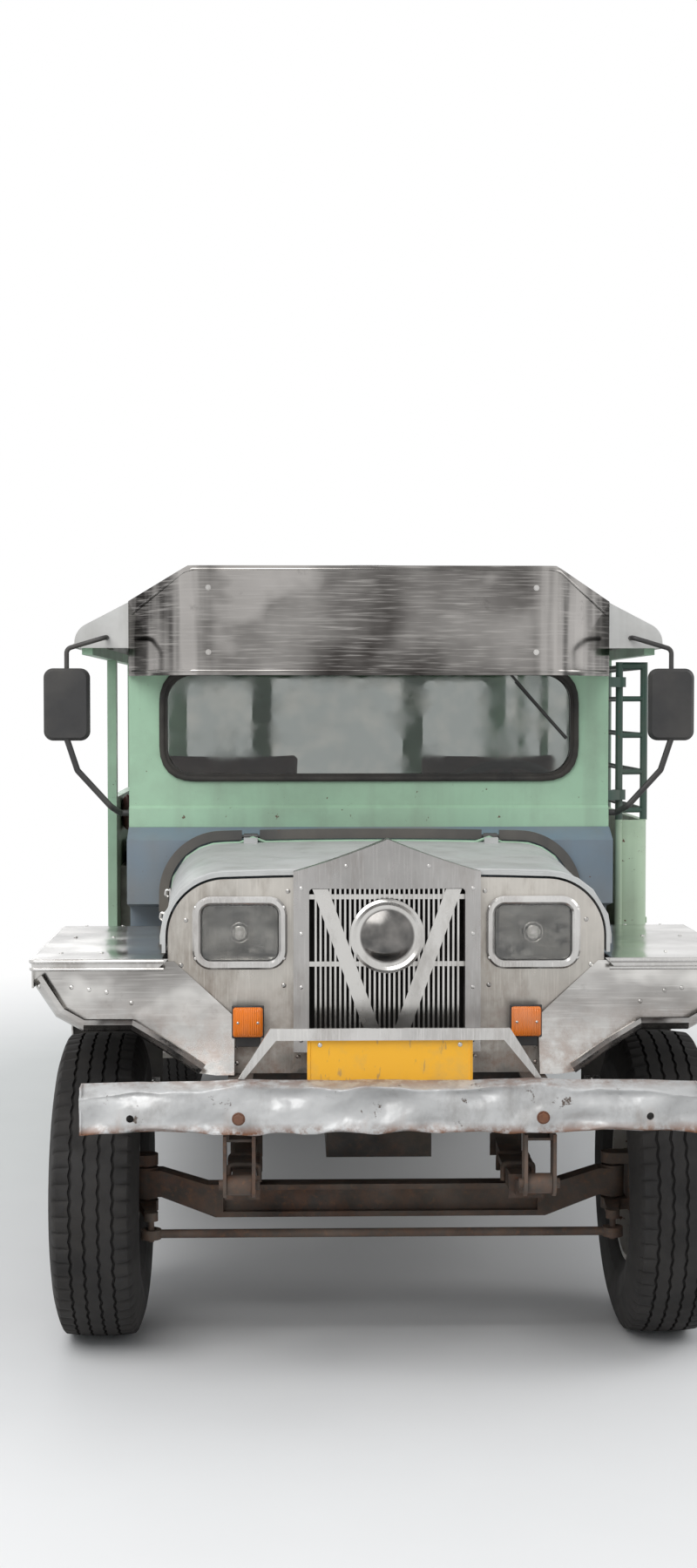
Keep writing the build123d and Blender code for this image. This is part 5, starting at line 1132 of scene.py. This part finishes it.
class JEEPNEY_OT_cab_fittings(bpy.types.Operator):
    """Fit the gauges, pedals, levers, door handle and grab handle of the cab"""
    bl_idname = "jeepney.cab_fittings"
    bl_label = "Cab fittings"

    def execute(self, context):
        self.dashboard(corners_of("dashboard")[1].y)
        self.controls(corners_of("floor")[1].z)
        self.door()
        # Passenger's grab handle on the windscreen frame
        grab = bmesh.new()
        add_grip(grab, corners_of("windscreen_frame")[0].x + 0.02, -1.512, -1.462, 1.47, 1.68, 0.010, 0.02)
        new_piece("cab_grab_handle", grab, "mint_paint", smooth=ROUND)
        return {"FINISHED"}

    def dashboard(self, face):
        """Gauges with rims, marks and hands, a row of switches, and the glove box's lid."""
        first_mark, mark_step = 225, 33.75
        dials = bmesh.new()
        rims = bmesh.new()
        marks = bmesh.new()
        for x, z, radius in ((0.43, 1.232, 0.045), (0.335, 1.226, 0.03), (0.525, 1.226, 0.03),
                             (0.0, 1.228, 0.028)):
            add_rod(dials, (x, face - 0.001, z), (x, face + 0.002, z), radius, 32)
            add_tube(rims, ring(x, face + 0.003, z, radius, 32), 0.003, closed=True)
            for step in range(9):
                angle = radians(first_mark - mark_step * step)
                add_tube(marks, [(x + radius * share * cos(angle), face + 0.0028,
                                  z + radius * share * sin(angle))
                                 for share in (0.68, 0.86)], 0.0009, sides=4)
            add_tube(marks, [(x, face + 0.0032, z), (x - radius * 0.5, face + 0.0032, z - radius * 0.35)],
                     0.0012,
                     sides=4)
        for x in (-0.16, -0.11, 0.12, 0.17, 0.22):
            add_rod(rims, (x, face - 0.001, 1.205), (x, face + 0.018, 1.205), 0.009, 16, 0.007)
        new_piece("dial_faces", dials, "black_plastic")
        new_piece("dial_rims", rims, "bright_trim")
        new_piece("dial_marks", marks, "roof_paint")
        box_lid = bmesh.new()
        add_box(box_lid, (-0.60, face - 0.001, 1.185), (-0.28, face + 0.003, 1.272))
        add_rod(box_lid, (-0.44, face, 1.262), (-0.44, face + 0.012, 1.262), 0.008, 14)
        new_piece("glove_box_lid", box_lid, "slate_paint", bevel=0.0015)

    def controls(self, floor_top):
        """Three pedals, the gear lever with its boot, the hand brake and their knobs."""
        foot = floor_top - 0.002
        pedals = bmesh.new()
        for x in (0.34, 0.43, 0.53):
            add_tube(pedals, [(x, -1.508, 0.98), (x, -1.44, 0.93), (x, -1.40, 0.86)], 0.008, bends=0.03)
            add_box(pedals, (x - 0.03, -1.402, 0.835), (x + 0.03, -1.392, 0.885))
        new_piece("pedals", pedals, "black_rubber", bevel=0.002)
        levers = bmesh.new()
        add_tube(levers, [(0.0, -1.30, foot), (0.0, -1.27, 0.98), (0.03, -1.14, 1.13)], 0.008, bends=0.08,
                 sides=10)
        add_rod(levers, (0.0, -1.30, foot), (0.0, -1.297, floor_top + 0.05), 0.05, 20, 0.02)
        add_tube(levers, [(0.115, -1.20, foot), (0.115, -1.16, 0.95)], 0.009, sides=10)
        new_piece("levers", levers, "chassis_paint", smooth=ROUND)
        knobs = bmesh.new()
        add_dome(knobs, (0.032, -1.132, 1.139), (0, 0.5, 0.5), 0.022, 0.024, 16)
        add_dome(knobs, (0.115, -1.158, 0.957), UP, 0.016, 0.022, 14)
        new_piece("lever_knobs", knobs, "black_plastic", smooth=ROUND)

    def door(self):
        """Outside handle on two round feet, and two kick strips."""
        z = 1.215
        ends = (-0.86, -0.77)
        skin = settle("driver_door", (1.2, -0.80, z), (-1, 0, 0))[0].x
        handle = bmesh.new()
        route = [(skin - 0.002, ends[0], z), (skin + 0.028, ends[0], z), (skin + 0.028, ends[1], z),
                 (skin - 0.002, ends[1], z)]
        add_tube(handle, route, 0.007, bends=0.015, sides=10)
        for y in ends:
            add_rod(handle, (skin - 0.001, y, z), (skin + 0.005, y, z), 0.015, 18)
        new_piece("door_handle", handle, "bright_trim", "driver_door", ROUND)
        strips = bmesh.new()
        for z in (0.83, 0.98):
            add_tube(strips, [(skin, -1.46, z), (skin, -0.75, z)], 0.004, flat=(0.006, 0.018))
        new_piece("door_strips", strips, "green_paint", "driver_door", bevel=0.001)


class JEEPNEY_OT_running_gear(bpy.types.Operator):
    """Clamp the springs, strap the tank and edge the mud flaps"""
    bl_idname = "jeepney.running_gear"
    bl_label = "Running gear"

    def execute(self, context):
        clamps = bmesh.new()
        for side, _ in SIDES:
            for axle_y in (FRONT_AXLE_Y, REAR_AXLE_Y):
                x = side * SPRING_X
                top = settle("leaf_springs", (x, axle_y + 0.085, 0.9), DOWN)[0].z + 0.012
                for y in (axle_y - 0.06, axle_y + 0.06):
                    add_tube(clamps, [(x - 0.039, y, 0.40), (x - 0.039, y, top), (x + 0.039, y, top),
                                      (x + 0.039, y, 0.40)], 0.007, bends=0.012)
                for y in (axle_y - 0.25, axle_y + 0.25):
                    over = settle("leaf_springs", (x, y, 0.9), DOWN)[0].z + 0.004
                    under = settle("leaf_springs", (x, y, 0.1), UP)[0].z - 0.004
                    add_tube(clamps, [(x - 0.036, y, under), (x - 0.036, y, over), (x + 0.036, y, over),
                                      (x + 0.036, y, under)], 0.003, closed=True, flat=(0.004, 0.022))
        new_piece("spring_clamps", clamps, "rusty_steel", smooth=ROUND)
        low, high = corners_of("fuel_tank")
        left, right = low.x - 0.001, high.x + 0.001
        under, over = low.z - 0.001, high.z - 0.03
        bands = bmesh.new()
        for y in (low.y + 0.12, high.y - 0.12):
            add_tube(bands, [(left, y, over), (left, y, under), (right, y, under), (right, y, over)], 0.003,
                     flat=(0.004, 0.03))
        new_piece("tank_bands", bands, "rusty_steel")
        low = corners_of("mud_flaps")[0]
        front = low.y - 0.003
        strips = bmesh.new()
        for side, _ in SIDES:
            x = side * 0.727
            add_box(strips, (x - 0.12, front, low.z + 0.004), (x + 0.12, low.y + 0.001, low.z + 0.03))
            add_domes(strips, [(x + reach, front, low.z + 0.017) for reach in (-0.1, 0, 0.1)], FORWARD,
                      0.006, 0.003)
        new_piece("flap_strips", strips, "bright_trim")
        return {"FINISHED"}


class JEEPNEY_OT_engine_fittings(bpy.types.Operator):
    """Dress the engine under the hood: rocker cover, air cleaner, pipes, fan, hoses and radiator cap"""
    bl_idname = "jeepney.engine_fittings"
    bl_label = "Engine fittings"

    def execute(self, context):
        top = corners_of("engine_block")[1].z
        low, high = corners_of("radiator")
        cover = bmesh.new()
        add_box(cover, (-0.085, -2.400, top - 0.001), (0.085, -1.800, top + 0.052))
        add_box(cover, (-0.098, -2.412, top - 0.001), (0.098, -1.788, top + 0.009))
        new_piece("rocker_cover", cover, "engine_steel", bevel=0.008, segments=3)
        bolts = bmesh.new()
        seats = [(0, y, top + 0.052) for y in (-2.30, -2.10, -1.90)]
        seats += [(x, y, top) for x in (-0.180, 0.180) for y in (-2.38, -2.21, -2.04, -1.87)]
        for seat in seats:
            add_bolt(bolts, seat, UP, 0.009, 0.012)
        new_piece("engine_bolts", bolts, "rusty_bolt")
        pipes = bmesh.new()
        for y in (-2.33, -2.17, -2.01, -1.87):
            add_tube(pipes, [(-0.080, y, top + 0.025), (-0.165, y, top + 0.025), (-0.165, y, top - 0.002)],
                     0.017,
                     bends=0.03, sides=12)
        new_piece("intake_pipes", pipes, "engine_steel", smooth=ROUND)
        # Air cleaner, from its neck up to its nut: (from, to, radius, sides, end radius)
        cleaner = bmesh.new()
        for start, end, radius, sides, end_radius in ((-0.001, 0.03, 0.038, 24, None),
                                                      (0.028, 0.088, 0.098, 40, None),
                                                      (0.086, 0.094, 0.104, 40, 0.096),
                                                      (0.092, 0.104, 0.010, 6, None)):
            add_rod(cleaner, (0.135, -2.12, top + start), (0.135, -2.12, top + end), radius, sides,
                    end_radius)
        new_piece("air_cleaner", cleaner, "black_plastic", bevel=0.002)
        fan = bmesh.new()
        fan_y, hub_z, blades, pitch = -2.501, 0.93, 6, 22
        for index in range(blades):
            blade = add_box(fan, (-0.028, fan_y - 0.002, 0.035), (0.028, fan_y + 0.002, 0.185))
            for angle, axis in ((pitch, "Z"), (360 / blades * index, "Y")):
                bmesh.ops.rotate(fan, cent=(0, fan_y, 0), matrix=Matrix.Rotation(radians(angle), 3, axis),
                                 verts=blade)
            bmesh.ops.translate(fan, vec=(0, 0, hub_z), verts=blade)
        add_rod(fan, (0, -2.441, hub_z), (0, -2.512, hub_z), 0.042, 24)
        add_rod(fan, (0, -2.452, hub_z), (0, -2.470, hub_z), 0.070, 32)
        new_piece("fan", fan, "engine_steel")
        hoses = bmesh.new()
        foot = high.y - 0.002
        for x, route, bends in ((-0.10, ((foot, 1.150), (-2.490, 1.150), (-2.460, 1.040), (-2.438, 1.030)),
                                 0.03),
                                (0.13, ((foot, 0.790), (-2.500, 0.790), (-2.438, 0.700)), 0.04)):
            add_tube(hoses, [(x, y, z) for y, z in route], 0.021, bends=bends, sides=14)
        new_piece("radiator_hoses", hoses, "black_rubber", smooth=ROUND)
        cap = bmesh.new()
        middle_y = (low.y + high.y) / 2
        for start, end, radius, sides in ((-0.001, 0.008, 0.016, 24), (0.007, 0.013, 0.021, 8)):
            add_rod(cap, (0.13, middle_y, high.z + start), (0.13, middle_y, high.z + end), radius, sides)
        new_piece("radiator_cap", cap, "bright_trim", bevel=0.001)
        return {"FINISHED"}


# Cushions

def held(point, low, high):
    """The nearest place to a point that lies between two corners."""
    return Vector([min(max(value, least), most) for value, least, most in zip(point, low, high)])


def swell(piece, crown):
    """Blows a cushion up as cloth under pressure, nowhere further than its crown."""
    last_frame = 20
    before = [vert.co.copy() for vert in piece.data.vertices]
    cloth = piece.modifiers.new("Cloth", "CLOTH")
    cloth.settings.use_pressure = True
    cloth.settings.uniform_pressure_force = 4
    cloth.settings.effector_weights.gravity = 0
    cloth.point_cache.frame_start = 1
    cloth.point_cache.frame_end = last_frame
    for step in range(1, last_frame + 1):
        bpy.context.scene.frame_set(step)
    apply_modifiers(piece)
    bpy.context.scene.frame_set(1)
    for vert, start in zip(piece.data.vertices, before):
        move = vert.co - start
        if move.length > crown:
            vert.co = start + move.normalized() * crown


def stuffed(name, node, low, high, crown, voxel, rests_on, channels):
    """A cushion in place of one solid of a node: swollen, then drawn in along its sewn channels.

    rests_on is the flat side, as (axis, sign). Each channel is (axis, place, width, depth).
    """
    bm = bmesh.new()
    inset = Vector((crown, crown, crown)) * 0.55
    add_box(bm, low + inset, high - inset)
    round_edges(bm, bm.edges, min(high - low) * 0.22, 3)
    piece = new_object(name, bm)
    remesh = piece.modifiers.new("Remesh", "REMESH")
    remesh.mode = "VOXEL"
    remesh.voxel_size = voxel
    apply_modifiers(piece)
    swell(piece, crown)
    middle = (low + high) / 2
    size = high - low
    flat_axis, sign = rests_on
    wall = low[flat_axis] if sign < 0 else high[flat_axis]
    for vert in piece.data.vertices:
        point = vert.co.copy()
        for axis, place, width, depth in channels:
            away = abs(point[axis] - place)
            if away < 3 * width:
                pull = depth * exp(-(away / width) ** 2)
                for other in {0, 1, 2} - {axis}:
                    reach = (point[other] - middle[other]) / (size[other] / 2)
                    point[other] -= pull * reach ** 3
        point = held(point, low, high)
        if (point[flat_axis] - wall) * -sign < size[flat_axis] * 0.12:
            point[flat_axis] = wall
        vert.co = point
    finer = piece.modifiers.new("Finer", "SUBSURF")
    finer.levels = finer.render_levels = 1
    apply_modifiers(piece)
    for vert in piece.data.vertices:
        vert.co = held(vert.co, low, high)
    dress(piece, "seat_vinyl")
    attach(piece, "body")
    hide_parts(node)


def solids_of(node):
    """The lowest and highest corner of each separate solid of a carried node, in order along X."""
    bm = bmesh.new()
    bm.from_mesh(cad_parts[node].data)
    bmesh.ops.remove_doubles(bm, verts=bm.verts, dist=1e-5)
    found = []
    left = set(bm.verts)
    while left:
        heap = [left.pop()]
        points = []
        while heap:
            vert = heap.pop()
            points.append(vert.co.copy())
            joined = {edge.other_vert(vert) for edge in vert.link_edges} & left
            left -= joined
            heap.extend(joined)
        found.append([Vector([pick(point[axis] for point in points) for axis in range(3)])
                      for pick in (min, max)])
    bm.free()
    return sorted(found, key=lambda corners: tuple(corners[0]))


class JEEPNEY_OT_cab_seats(bpy.types.Operator):
    """Stuff the driver's and passenger's cushions and backs"""
    bl_idname = "jeepney.cab_seats"
    bl_label = "Cab seats"

    def execute(self, context):
        crown = context.scene.jeepney_sizes.cushion_crown
        for number, (low, high) in enumerate(solids_of("cab_seats")):
            if high.z - low.z > 0.3:
                rests_on = (1, 1)
                channels = [(2, low.z + (high.z - low.z) * share, 0.012, 0.014) for share in (0.36, 0.64)]
            else:
                rests_on = (2, -1)
                channels = [(0, (low.x + high.x) / 2 + reach, 0.012, 0.012) for reach in (-0.12, 0.12)]
            stuffed(f"cab_seat_pad_{number}", "cab_seats", low, high, crown, 0.01, rests_on, channels)
        return {"FINISHED"}


class JEEPNEY_OT_benches(bpy.types.Operator):
    """Stuff the two long benches and their back pads, sewn across between the riders"""
    bl_idname = "jeepney.benches"
    bl_label = "Benches"

    def execute(self, context):
        crown = context.scene.jeepney_sizes.cushion_crown
        riders = 8
        for number, (low, high) in enumerate(solids_of("bench_cushions")):
            channels = [(1, low.y + (high.y - low.y) * share / riders, 0.014, 0.016)
                        for share in range(1, riders)]
            rests_on = (2, -1)
            if high.x - low.x < 0.1:
                rests_on = (0, 1 if low.x > 0 else -1)
            stuffed(f"bench_pad_{number}", "bench_cushions", low, high, crown, 0.02, rests_on, channels)
        return {"FINISHED"}


# The stage

def seen_by(tree, first, *others):
    """1 for these kinds of ray and 0 for the rest."""
    path = tree.nodes.new("ShaderNodeLightPath")
    seen = path.outputs[first]
    for kind in others:
        either = tree.nodes.new("ShaderNodeMath")
        either.operation = "MAXIMUM"
        tree.links.new(seen, either.inputs[0])
        tree.links.new(path.outputs[kind], either.inputs[1])
        seen = either.outputs[0]
    return seen


def glow(node, colour, strength):
    node.inputs["Color"].default_value = (*colour, 1)
    node.inputs["Strength"].default_value = strength
    return node.outputs[0]


def blend(tree, amount, first, second, output):
    """Shows first where amount is 0 and second where it is 1."""
    node = tree.nodes.new("ShaderNodeMixShader")
    for index, value in enumerate((amount, first, second)):
        tree.links.new(value, node.inputs[index])
    tree.links.new(node.outputs[0], tree.nodes[output].inputs["Surface"])
    return node.outputs[0]


class JEEPNEY_OT_stage(bpy.types.Operator):
    """Lay the pale floor, set the soft lamps and the camera"""
    bl_idname = "jeepney.stage"
    bl_label = "Stage"

    def execute(self, context):
        scene = context.scene
        sizes = scene.jeepney_sizes
        scene.view_settings.view_transform = "Standard"
        self.floor()
        self.world(scene)
        for name, place, aim, size, power in (("over_front", (-2.6, -6.5, 6.0), (0, -2.0, 1.0), 5.0,
                                               sizes.soft_light),
                                              ("left_side", (6.5, -1.0, 4.5), (0, 0, 1.0), 4.0, 120),
                                              ("rear", (-2.0, 7.5, 5.0), (0, 1.5, 1.0), 4.0, 160)):
            lamp = bpy.data.lights.new(name, "AREA")
            lamp.size = size
            lamp.energy = power
            holder = bpy.data.objects.new(name, lamp)
            holder.location = place
            holder.rotation_euler = (Vector(aim) - Vector(place)).to_track_quat("-Z", "Y").to_euler()
            scene.collection.objects.link(holder)
        view = bpy.data.cameras.new("front_view")
        view.lens = sizes.camera_focal
        view.sensor_width = 36
        view.sensor_fit = "AUTO"
        camera = bpy.data.objects.new("front_view", view)
        camera.location = (-0.230, -7.794, 1.638)
        camera.rotation_euler = (radians(90 - 2.21), 0, radians(-1.54))
        scene.collection.objects.link(camera)
        scene.camera = camera
        return {"FINISHED"}

    def floor(self):
        """Fades to plain white away from the vehicle, and is clear to a camera that looks up through it."""
        bm = bmesh.new()
        bmesh.ops.create_grid(bm, x_segments=1, y_segments=1, size=60)
        bmesh.ops.translate(bm, vec=(0, 0, -0.0005), verts=bm.verts)
        floor = new_object("floor_plane", bm)
        surface = Surface("studio_floor", specular_ior_level=0.1)
        surface.finish(surface.mix(surface.noise(3, 4), (0.76, 0.76, 0.755), (0.80, 0.80, 0.795)), 0.8)
        tree = surface.tree
        across, along = (surface.ramp(axis, -12, 12, -1, 1) for axis in "XY")
        away = surface.sum(surface.times(across, across), surface.times(surface.times(along, along), 0.3))
        seen = seen_by(tree, "Is Camera Ray", "Is Glossy Ray", "Is Transmission Ray")
        white = glow(tree.nodes.new("ShaderNodeEmission"), (1, 1, 1), 1.0)
        above = blend(tree, surface.times(surface.spread(away, 0.020, 0.075), seen),
                      surface.shader.outputs[0],
                      white, "Material Output")
        below = surface.times(tree.nodes.new("ShaderNodeNewGeometry").outputs["Backfacing"],
                              seen_by(tree, "Is Camera Ray"))
        blend(tree, below, above, tree.nodes.new("ShaderNodeBsdfTransparent").outputs[0], "Material Output")
        floor.data.materials.append(surface.material)

    def world(self, scene):
        """Soft pale light, which looks plain white itself."""
        scene.world = bpy.data.worlds.new("studio")
        scene.world.use_nodes = True
        tree = scene.world.node_tree
        soft = glow(tree.nodes["Background"], (0.93, 0.96, 1.0), 0.62)
        white = glow(tree.nodes.new("ShaderNodeBackground"), (1, 1, 1), 1.0)
        blend(tree, seen_by(tree, "Is Camera Ray", "Is Transmission Ray", "Is Glossy Ray"), soft, white,
              "World Output")


class JEEPNEY_PT_parts(bpy.types.Panel):
    """Lists the steps that dress the jeepney"""
    bl_label = "Jeepney"
    bl_idname = "JEEPNEY_PT_parts"
    bl_space_type = "VIEW_3D"
    bl_region_type = "UI"
    bl_category = "Jeepney"

    def draw(self, context):
        layout = self.layout
        for group in (context.scene.jeepney_colours, context.scene.jeepney_sizes):
            column = layout.column()
            for name in group.__annotations__:
                column.prop(group, name)
        for step in STEPS:
            layout.operator(step.bl_idname)


STEPS = (JEEPNEY_OT_finishes, JEEPNEY_OT_tyres, JEEPNEY_OT_front_lamps, JEEPNEY_OT_sheet_metal,
         JEEPNEY_OT_bumper, JEEPNEY_OT_hood_fittings, JEEPNEY_OT_windscreen_trim, JEEPNEY_OT_mirror_glasses,
         JEEPNEY_OT_body_trim, JEEPNEY_OT_cab_fittings, JEEPNEY_OT_running_gear,
         JEEPNEY_OT_engine_fittings, JEEPNEY_OT_cab_seats, JEEPNEY_OT_benches, JEEPNEY_OT_stage)
CLASSES = (JeepneyColours, JeepneySizes, *STEPS, JEEPNEY_PT_parts)


def register():
    for item in CLASSES:
        bpy.utils.register_class(item)
    bpy.types.Scene.jeepney_colours = bpy.props.PointerProperty(type=JeepneyColours)
    bpy.types.Scene.jeepney_sizes = bpy.props.PointerProperty(type=JeepneySizes)


def unregister():
    del bpy.types.Scene.jeepney_sizes
    del bpy.types.Scene.jeepney_colours
    for item in reversed(CLASSES):
        bpy.utils.unregister_class(item)


def main():
    register()
    for step in STEPS:
        group, name = step.bl_idname.split(".")
        getattr(getattr(bpy.ops, group), name)()


if __name__ == "__main__":
    main()
